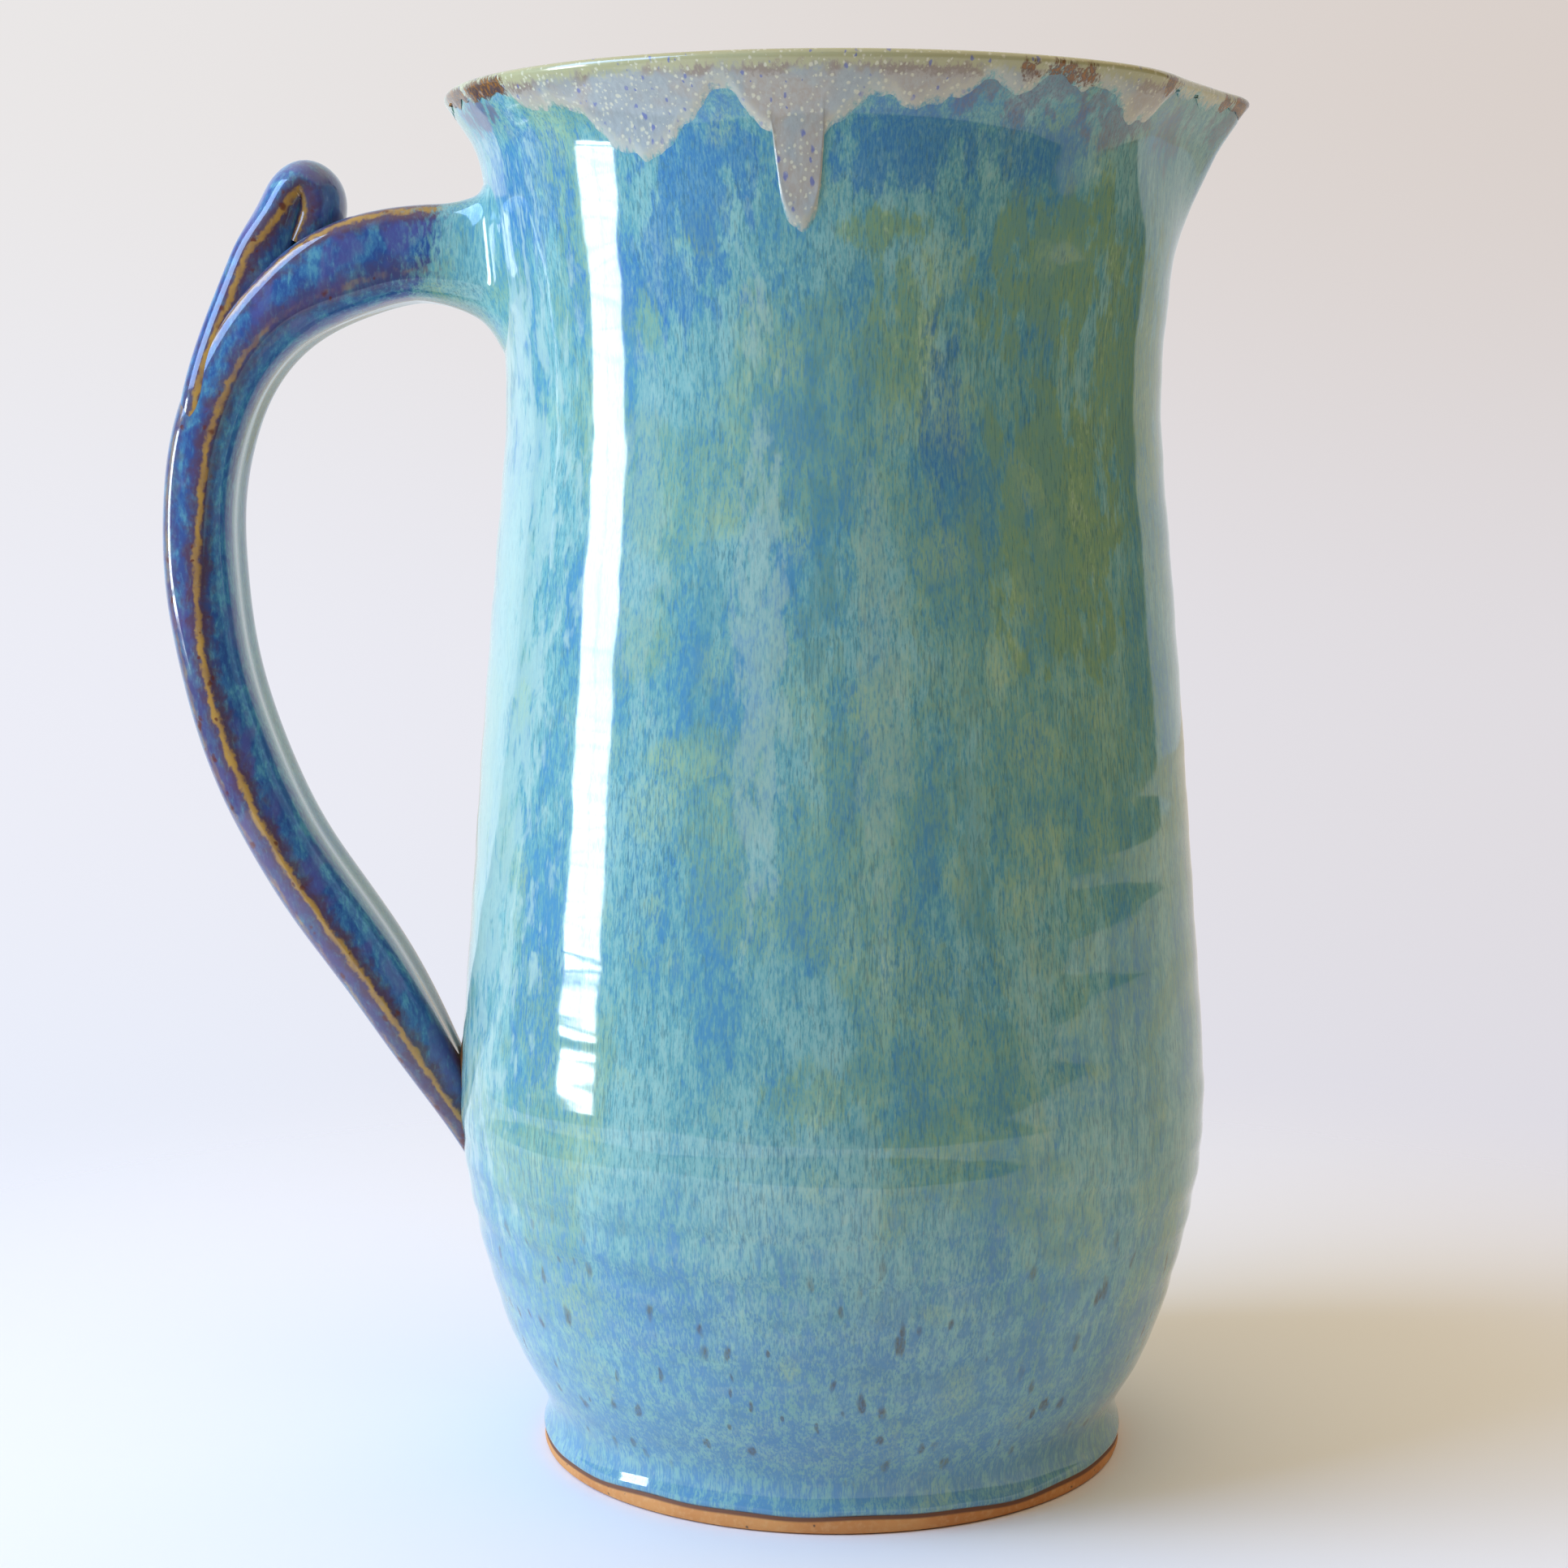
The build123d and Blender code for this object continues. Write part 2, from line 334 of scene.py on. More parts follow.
# %% Clay body
COAT = 0.8  # thickness of the glaze on the wall, mm
UNDER_COAT = 0.1  # a hair's gap between the clay and the coat outside, mm
RECESS_RADIUS = 45.0
RECESS_DEPTH = 3.0
LIP_TOP = rim_top / MM - 0.6
clay_path = [(0.2, RECESS_DEPTH), (RECESS_RADIUS - 2, RECESS_DEPTH), (RECESS_RADIUS, RECESS_DEPTH - 1)]
clay_path += [(RECESS_RADIUS + 0.4, 0.5), (RECESS_RADIUS + 1.0, 0.0), (51.6, 0.0), (52.3, 0.35)]
clay_path += [(52.55, 1.0), (52.5, 3.0)]
for clay_height in np.linspace(5, 236, 92):
    clay_path.append((None, clay_height))
clay_path += [(66.0, 238.4), (65.0, LIP_TOP), (63.4, LIP_TOP), (62.2, 238.2)]
for clay_height in np.linspace(236, FLOOR + 1, 70):
    clay_path.append((-1, clay_height))
clay_path += [(40.5, FLOOR - COAT), (20.0, FLOOR - COAT), (0.2, FLOOR - COAT)]


def clay_form(turn, level):
    """Follow the clay's outline, with its outside and inside a coat's depth under the glaze."""
    steps = len(clay_path) - 1
    index = np.rint(level * steps).astype(int)
    height = np.array([z for r, z in clay_path])[index]
    stated = np.array([np.nan if r is None or r < 0 else r for r, z in clay_path])[index]
    outside = np.array([r is None for r, z in clay_path])[index]
    under_wall = wall_form(turn, height) - COAT - UNDER_COAT
    radius = np.where(outside, under_wall, inside_form(turn, height) + COAT)
    lip = (stated > 60) & (height > 230)
    radius = np.where(np.isnan(stated), radius, stated + np.where(lip, spout_offset(turn, height), 0))
    return ring(turn, radius, height)


clay_body = pulled_tube("clay_body", 160, len(clay_path) - 1, 0)
settle(clay_body, clay_form)
close_ends(clay_body)
smooth_edge(clay_body)
told(clay_body)

# %% [markdown]
# ## Piece 2: the glaze on the wall
# Glaze is glass that was runny once. It is nearly a millimetre thick, it ends above the
# foot in a wavy, rounded edge, and it follows the throwing rings under it. The tube gets
# closer levels near the foot, where that edge needs them, and Solidify gives the coat its
# thickness inwards.

# %% Wall glaze
GLAZE_EDGE = 2.6  # mean height of the glaze's edge over the foot, mm
WALL_COAT_TOP = 237.5


def foot_edge(turn):
    """Height of the glaze's lower edge, which wanders a little round the foot."""
    wander = 0.28 * np.sin(3 * turn + 0.6) + 0.2 * np.sin(8 * turn) + 0.12 * np.sin(17 * turn + 2)
    return GLAZE_EDGE + wander


def wall_coat_form(turn, level):
    """The outer face of the wall's glaze."""
    edge = foot_edge(turn)
    height = edge + (WALL_COAT_TOP - edge) * level**1.25
    above = height - edge
    roll = 0.22 * bump(above - 1.3, 0.9) - 0.45 * bump(above, 0.45)
    uneven = 0.05 * dimples(turn, height, 11, 3) + 0.03 * dimples(turn, height, 6, 40)
    tucked = 0.3 * smooth_step(236.2, 237.4, height)
    return ring(turn, wall_form(turn, height) + roll + uneven - tucked, height)


wall_glaze = pulled_tube("wall_glaze_coat", 288, 21, 7)
settle(wall_glaze, wall_coat_form)
apply_modifier(wall_glaze, "SOLIDIFY", thickness=COAT * MM, offset=-1, use_rim=True)
smooth_edge(wall_glaze, 60)
told(wall_glaze)

# %% [markdown]
# ## Piece 3: the liner
# The inside is glazed by pouring glaze in and out again. The liner runs from the middle
# of the floor, round its corner and up to just under the lip, where the rim's glaze
# overlaps it.

# %% Liner glaze
LINER_TOP = 229.0
LINER_THICK = 0.6
FLOOR_LEVELS = 0.14  # share of the liner's levels that lie on the floor


def liner_form(turn, level):
    """The floor first, then the wall inside."""
    on_floor = level < FLOOR_LEVELS
    out = np.clip(level / FLOOR_LEVELS, 0, 1)
    up = np.clip((level - FLOOR_LEVELS) / (1 - FLOOR_LEVELS), 0, 1) ** 1.3
    height = np.where(on_floor, FLOOR, FLOOR + (LINER_TOP - FLOOR) * up)
    swirl = 0.25 * np.sin(out * 14 - turn)  # the spiral a finger leaves on the floor
    swirl = swirl * smooth_step(0.05, 0.4, out) * (1 - smooth_step(0.8, 1, out))
    radius = np.where(on_floor, 0.3 + (INSIDE_OUTLINE[0][1] - 0.3) * out, inside_form(turn, height))
    return ring(turn, radius, height + np.where(on_floor, swirl, 0))


liner_glaze = pulled_tube("liner_glaze_coat", 160, 20, 6)
settle(liner_glaze, liner_form)
with editing(liner_glaze):
    bpy.ops.mesh.flip_normals()
apply_modifier(liner_glaze, "SOLIDIFY", thickness=LINER_THICK * MM, offset=-1, use_rim=True)
smooth_edge(liner_glaze, 60)
told(liner_glaze)

# %% [markdown]
# ## Piece 4: the rim's glaze and its drips
# The lip was dipped upside down in a second, paler glaze. In the fire it ran down over
# the blue in scallops and in one long blunt drip. Drips could be painted as colour, but
# on the pot they stand out and catch the light, so they are modelled: each column of
# points starts at the height where the coat ends at that turn, climbs the wall, goes round
# the lip and ends inside. The coat thickens to a bead at its edge.

# %% Drips
# Where on the rim (degrees), how far down (mm) and how wide (degrees)
DRIPS = [
    (-138, 3.8, 9), (-120, 11.2, 15), (-120, 2.0, 30), (-96, 10.5, 10.5), (-92, 2.6, 24),
    (-80, 4.4, 11), (-73, 1.6, 5), (-65, 3.0, 6), (-54, 2.2, 5), (-42, 5.4, 10), (-36, 3.0, 4),
    (22, 6.0, 10), (47, 11.5, 11), (57, 2.6, 22), (86, 10.0, 10), (98, 3.0, 24), (108, 5.0, 6),
    (129, 12.0, 12), (152, 5.0, 11),
]
FINGERS = [(-96, 11.0, 3.5), (86, 8.0, 3.4)]  # blunt ends below two of the drips
DRY_RIM = 236.8  # the coat ends this high where nothing ran


def coat_edge(turn):
    """Height where the rim's glaze ends, in millimetres."""
    height = np.full_like(turn, DRY_RIM)
    for where, depth, half_width in DRIPS:
        away = np.clip(np.abs(degrees_from(turn, where)) / half_width, 0, 1)
        height -= depth * (1 - away**1.4) ** 1.3
    for where, depth, half_width in FINGERS:
        away = np.clip(np.abs(degrees_from(turn, where)) / half_width, 0, 1)
        height -= depth * (1 - away**4) ** 0.5
    ripple = 0.34 * np.sin(29 * turn) + 0.30 * np.sin(47 * turn + 1) + 0.22 * np.sin(83 * turn + 2)
    return height + ripple + 0.16 * np.sin(131 * turn + 3) + 0.3 * np.sin(13 * turn + 2)


RIM_COAT = 0.34  # how far the rim's glaze stands out from the wall's glaze, mm
RIM_GLAZE_THICK = 0.45
# Radius and height of the lip's outline, from the outside over the top
LIP = [
    (66.6, 237.6), (67.6, 238.7), (67.35, 239.6), (66.2, 240.0), (64.4, 239.75), (63.0, 239.0),
    (62.0, 237.6),
]
RIM_INSIDE_END = 224.0  # the coat ends inside at this height
OUTSIDE_SHARE, LIP_SHARE = 0.62, 0.22  # shares of the levels on the outside and over the lip


def rim_coat_form(turn, level):
    """Up the outside from the drips' edge, round the lip, and down inside."""
    edge = coat_edge(turn)
    up = np.clip(level / OUTSIDE_SHARE, 0, 1)
    out_height = edge + (LIP[0][1] - edge) * up**1.3
    above = out_height - edge
    coat = RIM_COAT * smooth_step(0, 3.0, above) + 0.06 * bump(above - 2.2, 1.4) - 0.05
    coat = coat + 0.05 * dimples(turn, out_height, 5, 12)
    out_radius = wall_form(turn, out_height) + np.where(up < 1, coat, RIM_COAT)

    over = np.clip((level - OUTSIDE_SHARE) / LIP_SHARE, 0, 1)
    steps = np.linspace(0, 1, len(LIP))
    beak = spout_offset(turn, np.full_like(turn, 240.0))
    lip_radius = spline(steps, [r for r, z in LIP])(over) + beak
    lip_height = spline(steps, [z for r, z in LIP])(over)

    down = np.clip((level - OUTSIDE_SHARE - LIP_SHARE) / (1 - OUTSIDE_SHARE - LIP_SHARE), 0, 1)
    in_height = LIP[-1][1] + (RIM_INSIDE_END - LIP[-1][1]) * down
    in_radius = inside_form(turn, in_height) - 0.5 * (1 - smooth_step(0.75, 1, down)) + 0.25 * down

    first, last = level <= OUTSIDE_SHARE, level > OUTSIDE_SHARE + LIP_SHARE
    blend_in = smooth_step(0, 0.25, down)
    inside = lip_radius * (1 - blend_in) + in_radius * blend_in
    radius = np.where(first, out_radius, np.where(last, inside, lip_radius))
    height = np.where(first, out_height, np.where(last, in_height, lip_height))
    return ring(turn, radius, height)


rim_glaze = pulled_tube("rim_glaze_coat", 768, 11, 4)
settle(rim_glaze, rim_coat_form)
apply_modifier(rim_glaze, "SOLIDIFY", thickness=RIM_GLAZE_THICK * MM, offset=-1, use_rim=True)
smooth_edge(rim_glaze, 60)
told(rim_glaze)

# %% [markdown]
# ## The line and the section of the handle
# The handle is a strap: a crowned outer face, a ridge on each side that potters call an
# arris, sides that slope in, and a soft inner face. It leaves the neck level, arches over,
# and comes back to the belly in a long curve. A spline through a few points gives the
# line. At each place on it, the section is drawn in the plane across the line.

# %% Handle line
STRAP_LINE = [
    (-57.5, 213.5), (-65.5, 213.5), (-74.5, 213.1), (-85.8, 210.0), (-96.4, 203.6), (-105.0, 193.0),
    (-110.2, 179.0), (-111.7, 163.0), (-110.1, 145.0), (-104.5, 124.5), (-94.3, 104.2), (-82.2, 86.5),
    (-72.2, 69.5), (-62.6, 53.4),
]


def along(line):
    """Splines for x and z against the share of a line's length, and the length."""
    places = np.array(line, float)
    run = np.concatenate([[0], np.cumsum(np.hypot(*np.diff(places, axis=0).T))])
    share = run / run[-1]
    return spline(share, places[:, 0]), spline(share, places[:, 1]), run[-1]


def across(line, share, side, out):
    """Points beside a line in the plane y = 0: side goes along y, out is square to the line."""
    line_x, line_z, _ = line
    step = 1e-3
    ahead, behind = np.clip(share + step, 0, 1), np.clip(share - step, 0, 1)
    dx, dz = line_x(ahead) - line_x(behind), line_z(ahead) - line_z(behind)
    length = np.hypot(dx, dz)
    x, z = line_x(share) + out * dz / length, line_z(share) - out * dx / length
    return x * MM, side * MM, z * MM


strap_line = along(STRAP_LINE)
print("strap length mm", round(strap_line[2]))

# %% [markdown]
# The section isn't the same all the way. On the arch the top is nearly flat, with an
# upper edge of its own, the crest, and the arris lies low. Past the thumb rest the outer
# face is crowned, and the arris lies near the middle of the side. So there are three
# sections, each a ring of points from the crown over the arris to the middle of the inner
# face, and the strap changes from one to the next. The ring's other half mirrors the first.

# %% Strap sections
# Each point is (share of the half width, share of the half thickness), crown first
ARCH = [
    (0.0, 1.0), (0.46, 1.0), (0.84, 0.94), (0.99, 0.5), (0.975, -0.42), (0.9, -0.72),
    (0.77, -0.9), (0.6, -0.97), (0.4, -1.0), (0.2, -1.0), (0.0, -1.0),
]
BEND = [
    (0.0, 1.0), (0.42, 0.97), (0.8, 0.8), (0.955, 0.36), (1.0, -0.28), (0.965, -0.47),
    (0.89, -0.66), (0.78, -0.84), (0.6, -0.95), (0.32, -0.98), (0.0, -0.95),
]
STRAP = [
    (0.0, 1.0), (0.4, 0.95), (0.77, 0.76), (0.94, 0.4), (1.0, 0.05), (0.975, -0.16),
    (0.91, -0.48), (0.8, -0.78), (0.62, -0.94), (0.32, -0.98), (0.0, -0.94),
]
ARRIS = 4  # the arris is this point of each half section
CREST = 2.35  # and the arch's upper edge is here
HALF_POINTS = len(ARCH) - 1
arris_turn, crest_turn = np.pi * ARRIS / HALF_POINTS, np.pi * CREST / HALF_POINTS


def closed_section(half):
    """Splines for the two coordinates round a whole section, against a turn in radians."""
    whole = half + [(-side, out) for side, out in reversed(half[1:-1])]
    turn = np.arange(-len(whole), 2 * len(whole) + 1) * np.pi / HALF_POINTS
    places = np.array(whole * 3 + whole[:1], float)
    return spline(turn, places[:, 0]), spline(turn, places[:, 1])


arch_section, bend_section, strap_section = map(closed_section, (ARCH, BEND, STRAP))


def section_at(turn, share):
    """The strap's section, as shares of its half width and half thickness."""
    past_arch = smooth_step(0.12, 0.21, share)
    past_bend = smooth_step(0.36, 0.54, share)
    both = []
    for axis in (0, 1):
        arch, bend, strap = (s[axis](turn) for s in (arch_section, bend_section, strap_section))
        both.append(arch * (1 - past_arch) + past_arch * (bend * (1 - past_bend) + strap * past_bend))
    return both


print("arris at", round(math.degrees(arris_turn)), "degrees round the section")

# %% [markdown]
# ## The strap and how it meets the wall
# Where the strap leaves the neck, clay was smeared round it into a wide fillet, so the
# strap seems to grow out of the wall. The first levels of the tube are drawn on the wall:
# each point slides over it in a quarter circle and ends flat against it. At the lower end
# the strap thins and narrows to a tail that was pressed on.

# %% Strap form
HALF_WIDTH, HALF_THICK = 13.4, 6.3
ROOT_HEIGHT = 213.6
ROOT_LEVELS = 0.16  # share of the tube's levels that make the fillet
WALL_BESIDE_ROOT = 61.4  # the strap runs free from this far out, plus the fillet's reach
HANDLE_SIDE = math.pi  # the turn on the wall where the handle stands


def root_reach(turn):
    """How far the fillet reaches out along the strap: less above it than below."""
    return 6.5 + 6.5 * smooth_step(-0.9, 0.5, -np.cos(turn))


def root_spread(turn):
    """How far the fillet spreads over the wall: little above the strap, wide below."""
    return 4.5 + 5.0 * np.abs(np.sin(turn)) ** 1.5 + 7.5 * smooth_step(0.0, 1.0, -np.cos(turn))


def on_wall(side, height, off):
    """A point beside the handle's side of the wall, a distance off it along x."""
    radius = wall_form(np.full_like(height, HANDLE_SIDE), height)
    return (-np.sqrt(radius**2 - side**2) - off) * MM, side * MM, height * MM


def strap_half_sizes(share, grow):
    """Half the strap's width and thickness at a share of its length."""
    tail = smooth_step(0.78, 1.0, share)
    stout = 1 - smooth_step(0.10, 0.30, share)
    half_width = HALF_WIDTH * (1 - 0.52 * tail**1.3) + 0.1 * np.sin(share * 61) + grow
    half_thick = HALF_THICK * (1 - 0.36 * tail) + 1.75 * stout + 0.08 * np.sin(share * 43 + 1) + grow
    return half_width, half_thick


def strap_form(turn, level, grow=0.0):
    """The strap's surface, from the fillet on the neck to the tail on the belly."""
    reach = root_reach(turn)
    start = (WALL_BESIDE_ROOT + reach + STRAP_LINE[0][0]) / strap_line[2]
    share = start + np.clip((level - ROOT_LEVELS) / (1 - ROOT_LEVELS), 0, 1) * (1 - start)
    side, out = section_at(turn, share)
    half_width, half_thick = strap_half_sizes(share, grow)
    free = across(strap_line, share, side * half_width, out * half_thick)

    sweep = np.clip(1 - level / ROOT_LEVELS, 0, 1) * np.pi / 2
    root_side, root_out = side * half_width, out * half_thick
    spread = 1 + root_spread(turn) * (1 - np.cos(sweep)) / np.hypot(root_side, root_out)
    sunk = 0.3 * smooth_step(0.93, 1.0, np.sin(sweep))
    root = on_wall(
        root_side * spread, ROOT_HEIGHT + root_out * spread, reach * (1 - np.sin(sweep)) + grow - sunk
    )
    mix = smooth_step(0.45, 1.0, level / ROOT_LEVELS)
    return tuple(r * (1 - mix) + f * mix for r, f in zip(root, free))


def ridge_distance(turn, line_share, sizes, section=section_at, edge=arris_turn):
    """Millimetres round the section from the nearer edge, above 0 on the crown's side."""
    side, out = section(turn, line_share)
    ridge_side, ridge_out = section(np.sign(np.sin(turn)) * edge, line_share)
    gap = np.hypot((side - ridge_side) * sizes[0], (out - ridge_out) * sizes[1])
    return gap * np.where(np.abs((turn + np.pi) % (2 * np.pi) - np.pi) < edge, 1, -1)


FAR_OFF = 30.0  # stored where there is no edge near


def keep(piece, name, values):
    """Store one number for each point, for a material to read."""
    piece.data.attributes.new(name, "FLOAT", "POINT").data.foreach_set("value", values)


strap_coat = pulled_tube("handle_glaze_coat", 120, 26, 9)
tube = points_of(strap_coat)
tube_turn, tube_level = np.arctan2(tube[:, 1], tube[:, 0]), tube[:, 2] / tube[:, 2].max()
tube_share = np.clip((tube_level - ROOT_LEVELS) / (1 - ROOT_LEVELS), 0, 1)
settle(strap_coat, strap_form)
on_root = 1 - smooth_step(0.35, 1.35, tube_level / ROOT_LEVELS)
sizes = strap_half_sizes(tube_share, 0)
ridge = ridge_distance(tube_turn, 0.06 + 0.94 * tube_share, sizes)
keep(strap_coat, "ridge_mm", ridge)
crest = ridge_distance(tube_turn, 0.06 + 0.94 * tube_share, sizes, edge=crest_turn)
keep(strap_coat, "crest_mm", crest)
keep(strap_coat, "on_arch", 1 - smooth_step(0.1, 0.3, tube_share))
keep(strap_coat, "on_root", on_root)
smooth_edge(strap_coat, 60)
told(strap_coat)

# %% [markdown]
# ## The thumb rest
# The thumb rest is a second, shorter strap. Its leg is luted to the back of the handle,
# so that the handle's outline carries on up into it, and its end is rolled over and
# pressed down on the arch. Its line starts at the tucked end and runs down the leg, so
# that its crown faces out as the handle's does.

# %% Thumb rest form
THUMB_LINE = [
    (-91.8, 214.4), (-90.1, 218.2), (-89.4, 221.4), (-90.0, 224.3), (-92.2, 225.8), (-94.5, 224.5),
    (-96.1, 221.2), (-98.7, 214.6), (-103.1, 204.2), (-106.7, 194.7), (-109.2, 185.0), (-110.3, 176.0),
]
thumb_line = along(THUMB_LINE)
LEG = [
    (0.0, 1.0), (0.4, 0.98), (0.76, 0.89), (0.94, 0.64), (1.0, 0.3), (0.99, -0.1),
    (0.95, -0.5), (0.86, -0.84), (0.66, -1.0), (0.34, -1.03), (0.0, -1.03),
]
CURL = [
    (0.0, 1.0), (0.42, 0.9), (0.76, 0.58), (0.95, 0.08), (0.93, -0.5), (0.82, -0.8),
    (0.66, -0.96), (0.48, -1.01), (0.3, -1.03), (0.15, -1.03), (0.0, -1.03),
]
leg_section, curl_section = closed_section(LEG), closed_section(CURL)


def thumb_section_at(turn, share):
    """The thumb rest's section: round on the curl, and a strap's on the leg."""
    on_leg = smooth_step(0.22, 0.46, share)
    return [c(turn) * (1 - on_leg) + g(turn) * on_leg for c, g in zip(curl_section, leg_section)]


def thumb_half_sizes(share, grow):
    """Half the width and thickness of the thumb rest."""
    half_width = 8.8 + 2.2 * smooth_step(0.1, 0.5, share) + 1.8 * smooth_step(0.5, 0.85, share)
    half_thick = 3.9 + 1.3 * smooth_step(0.2, 0.42, share)
    return half_width + grow, half_thick + grow


def thumb_form(turn, level, grow=0.0):
    """The thumb rest's surface, from the tucked end to the leg under the handle's crown."""
    half_width, half_thick = thumb_half_sizes(level, grow)
    side, out = thumb_section_at(turn, level)
    return across(thumb_line, level, side * half_width, out * half_thick)


thumb_coat = pulled_tube("thumb_coat", 96, 16, 9)
tube = points_of(thumb_coat)
tube_turn, tube_level = np.arctan2(tube[:, 1], tube[:, 0]), tube[:, 2] / tube[:, 2].max()
settle(thumb_coat, thumb_form)
ridge = ridge_distance(tube_turn, tube_level, thumb_half_sizes(tube_level, 0), thumb_section_at)
keep(thumb_coat, "ridge_mm", ridge)
keep(thumb_coat, "crest_mm", tube_level * 0 + FAR_OFF)
keep(thumb_coat, "on_arch", tube_level * 0)
keep(thumb_coat, "on_root", tube_level * 0)
smooth_edge(thumb_coat, 60)
told(thumb_coat)

# %% [markdown]
# ## The glaze on the handle
# One coat covers the strap and the thumb rest, so the two skins are joined into one
# piece and given a thickness together. The clay underneath is made from the same forms,
# drawn smaller by a little more than that thickness.

# %% Handle glaze and clay
HANDLE_COAT = 0.6  # how far the clay lies under the glaze's outer face, mm
HANDLE_GLAZE_THICK = 0.5


def join(first, second):
    """Join the second piece into the first."""
    only(first)
    second.select_set(True)
    bpy.ops.object.join()


join(strap_coat, thumb_coat)
handle_glaze = strap_coat
apply_modifier(handle_glaze, "SOLIDIFY", thickness=HANDLE_GLAZE_THICK * MM, offset=-1, use_rim=True)
smooth_edge(handle_glaze, 60)
told(handle_glaze)

CLAY_START = ROOT_LEVELS * 0.8  # the strap's clay starts inside the fillet


def strap_clay_form(turn, level):
    """The strap under its glaze, from inside the fillet to the tail."""
    return strap_form(turn, CLAY_START + level * (1 - CLAY_START), -HANDLE_COAT)


strap_clay = pulled_tube("strap_clay", 64, 26, 4)
settle(strap_clay, strap_clay_form)
close_ends(strap_clay)
smooth_edge(strap_clay)
told(strap_clay)

thumb_clay = pulled_tube("thumb_rest_clay", 56, 16, 4)
settle(thumb_clay, lambda turn, level: thumb_form(turn, level, -HANDLE_COAT))
close_ends(thumb_clay)
smooth_edge(thumb_clay)
told(thumb_clay)

# %% [markdown]
# ## The two joints
# Before the strap goes on, the potter scores both surfaces and wets them with slip, and
# afterwards works a coil of clay into the upper joint. That coil is the fillet. Its tube
# follows the fillet out from the wall, then turns back along the strap. The slip at the
# tail is a thin pad, pressed out as wide as the tail.

# %% Joint clay
AT_ROOT = 0.06  # share of the strap's line where it meets the coil
SLEEVE_GAP = 0.6  # the coil's hole is this much smaller than the strap's clay, mm


def root_form(turn, level):
    """The coil of clay: over the fillet from the wall, then back along the strap to the wall."""
    skin = strap_form(turn, np.clip(level * 2, 0, 0.98) * ROOT_LEVELS, -HANDLE_COAT)
    back = np.clip(level * 2 - 1, 0, 1)
    share = np.full_like(turn, AT_ROOT)
    side, out = section_at(turn, share)
    half_width, half_thick = strap_half_sizes(share, -HANDLE_COAT - SLEEVE_GAP)
    off = (1 - back) * root_reach(turn) * 0.85 - 1.0
    sleeve = on_wall(side * half_width, ROOT_HEIGHT + out * half_thick, off)
    return tuple(np.where(level <= 0.5, s, b) for s, b in zip(skin, sleeve))


upper_root = pulled_tube("upper_root_clay", 64, 10, 3)
settle(upper_root, root_form)
with editing(upper_root, "DESELECT"):
    bpy.ops.mesh.select_non_manifold()
    bpy.ops.mesh.bridge_edge_loops()
smooth_edge(upper_root)
told(upper_root)

TAIL_PLACE = Vector((-66.0, 0.0, 64.0)) * MM
TAIL_HALF_SIZES = Vector((1.6, 8.6, 12.0)) * MM
bpy.ops.mesh.primitive_uv_sphere_add(segments=40, ring_count=20, radius=1.0)
tail_slip = bpy.context.object
tail_slip.name = "tail_slip"
with editing(tail_slip):
    bpy.ops.transform.resize(value=TAIL_HALF_SIZES)
    bpy.ops.transform.translate(value=TAIL_PLACE)
slip_points = points_of(tail_slip)
# Bend the pad round the belly
slip_points[:, 0] -= TAIL_PLACE.x + np.sqrt(TAIL_PLACE.x**2 - slip_points[:, 1] ** 2)
tail_slip.data.vertices.foreach_set("co", slip_points.ravel())
tail_slip.data.update()
smooth_edge(tail_slip)
told(tail_slip)

# %% [markdown]
# ## What glaze looks like
# A glaze like this is two liquids that part in the fire. The thin parts go blue, the thick
# ones pale green, and as it runs, everything is drawn out into short upright feathers. So
# nearly all of its colour can come from noise that is stretched along the height. The
# effects below are node groups, because several finishes use them, and each reads the
# piece's own Object coordinates, which never slide when the pitcher is moved.

# %% Node helpers
def add(tree, kind, **settings):
    """Add a node and set its properties and unlinked inputs."""
    node = tree.nodes.new(kind)
    for key, value in settings.items():
        if hasattr(node, key):
            setattr(node, key, value)
        else:
            node.inputs[key.replace("_", " ")].default_value = value
    return node


def wire(tree, value, socket):
    """Put a number, a colour or another node's output into a socket."""
    if isinstance(value, bpy.types.NodeSocket):
        tree.links.new(value, socket)
    elif value is not None:
        socket.default_value = value


def sums(tree, operation, first, second=None, third=None, clamp=False):
    """A Math node."""
    node = tree.nodes.new("ShaderNodeMath")
    node.operation, node.use_clamp = operation, clamp
    for value, socket in zip((first, second, third), node.inputs):
        wire(tree, value, socket)
    return node.outputs[0]


def vectors(tree, operation, *values):
    """A Vector Math node's outputs."""
    node = add(tree, "ShaderNodeVectorMath", operation=operation)
    for value, socket in zip(values, node.inputs):
        wire(tree, value, socket)
    return node.outputs


def noise_at(tree, place, **settings):
    """A Noise texture's outputs."""
    node = add(tree, "ShaderNodeTexNoise", **settings)
    tree.links.new(place, node.inputs["Vector"])
    return node.outputs


def emboss(tree, shader, height, strength, depth):
    """Tilt a shader's normal by a bump."""
    raised = add(tree, "ShaderNodeBump", Strength=strength, Distance=depth)
    tree.links.new(height, raised.inputs["Height"])
    tree.links.new(raised.outputs["Normal"], shader.inputs["Normal"])


def times(tree, first, second, clamp=False):
    """The product of two values."""
    return sums(tree, "MULTIPLY", first, second, clamp=clamp)


def ruffled(tree, value, grain, amount):
    """A value made uneven by a grain that runs from 0 to 1."""
    return sums(tree, "MULTIPLY_ADD", sums(tree, "SUBTRACT", grain, 0.5), amount, value)


def blend(tree, share, first, second):
    """Mix two colours by a share."""
    node = add(tree, "ShaderNodeMix", data_type="RGBA")
    wire(tree, share, node.inputs[0])
    wire(tree, colour(first), node.inputs[6])
    wire(tree, colour(second), node.inputs[7])
    return node.outputs[2]


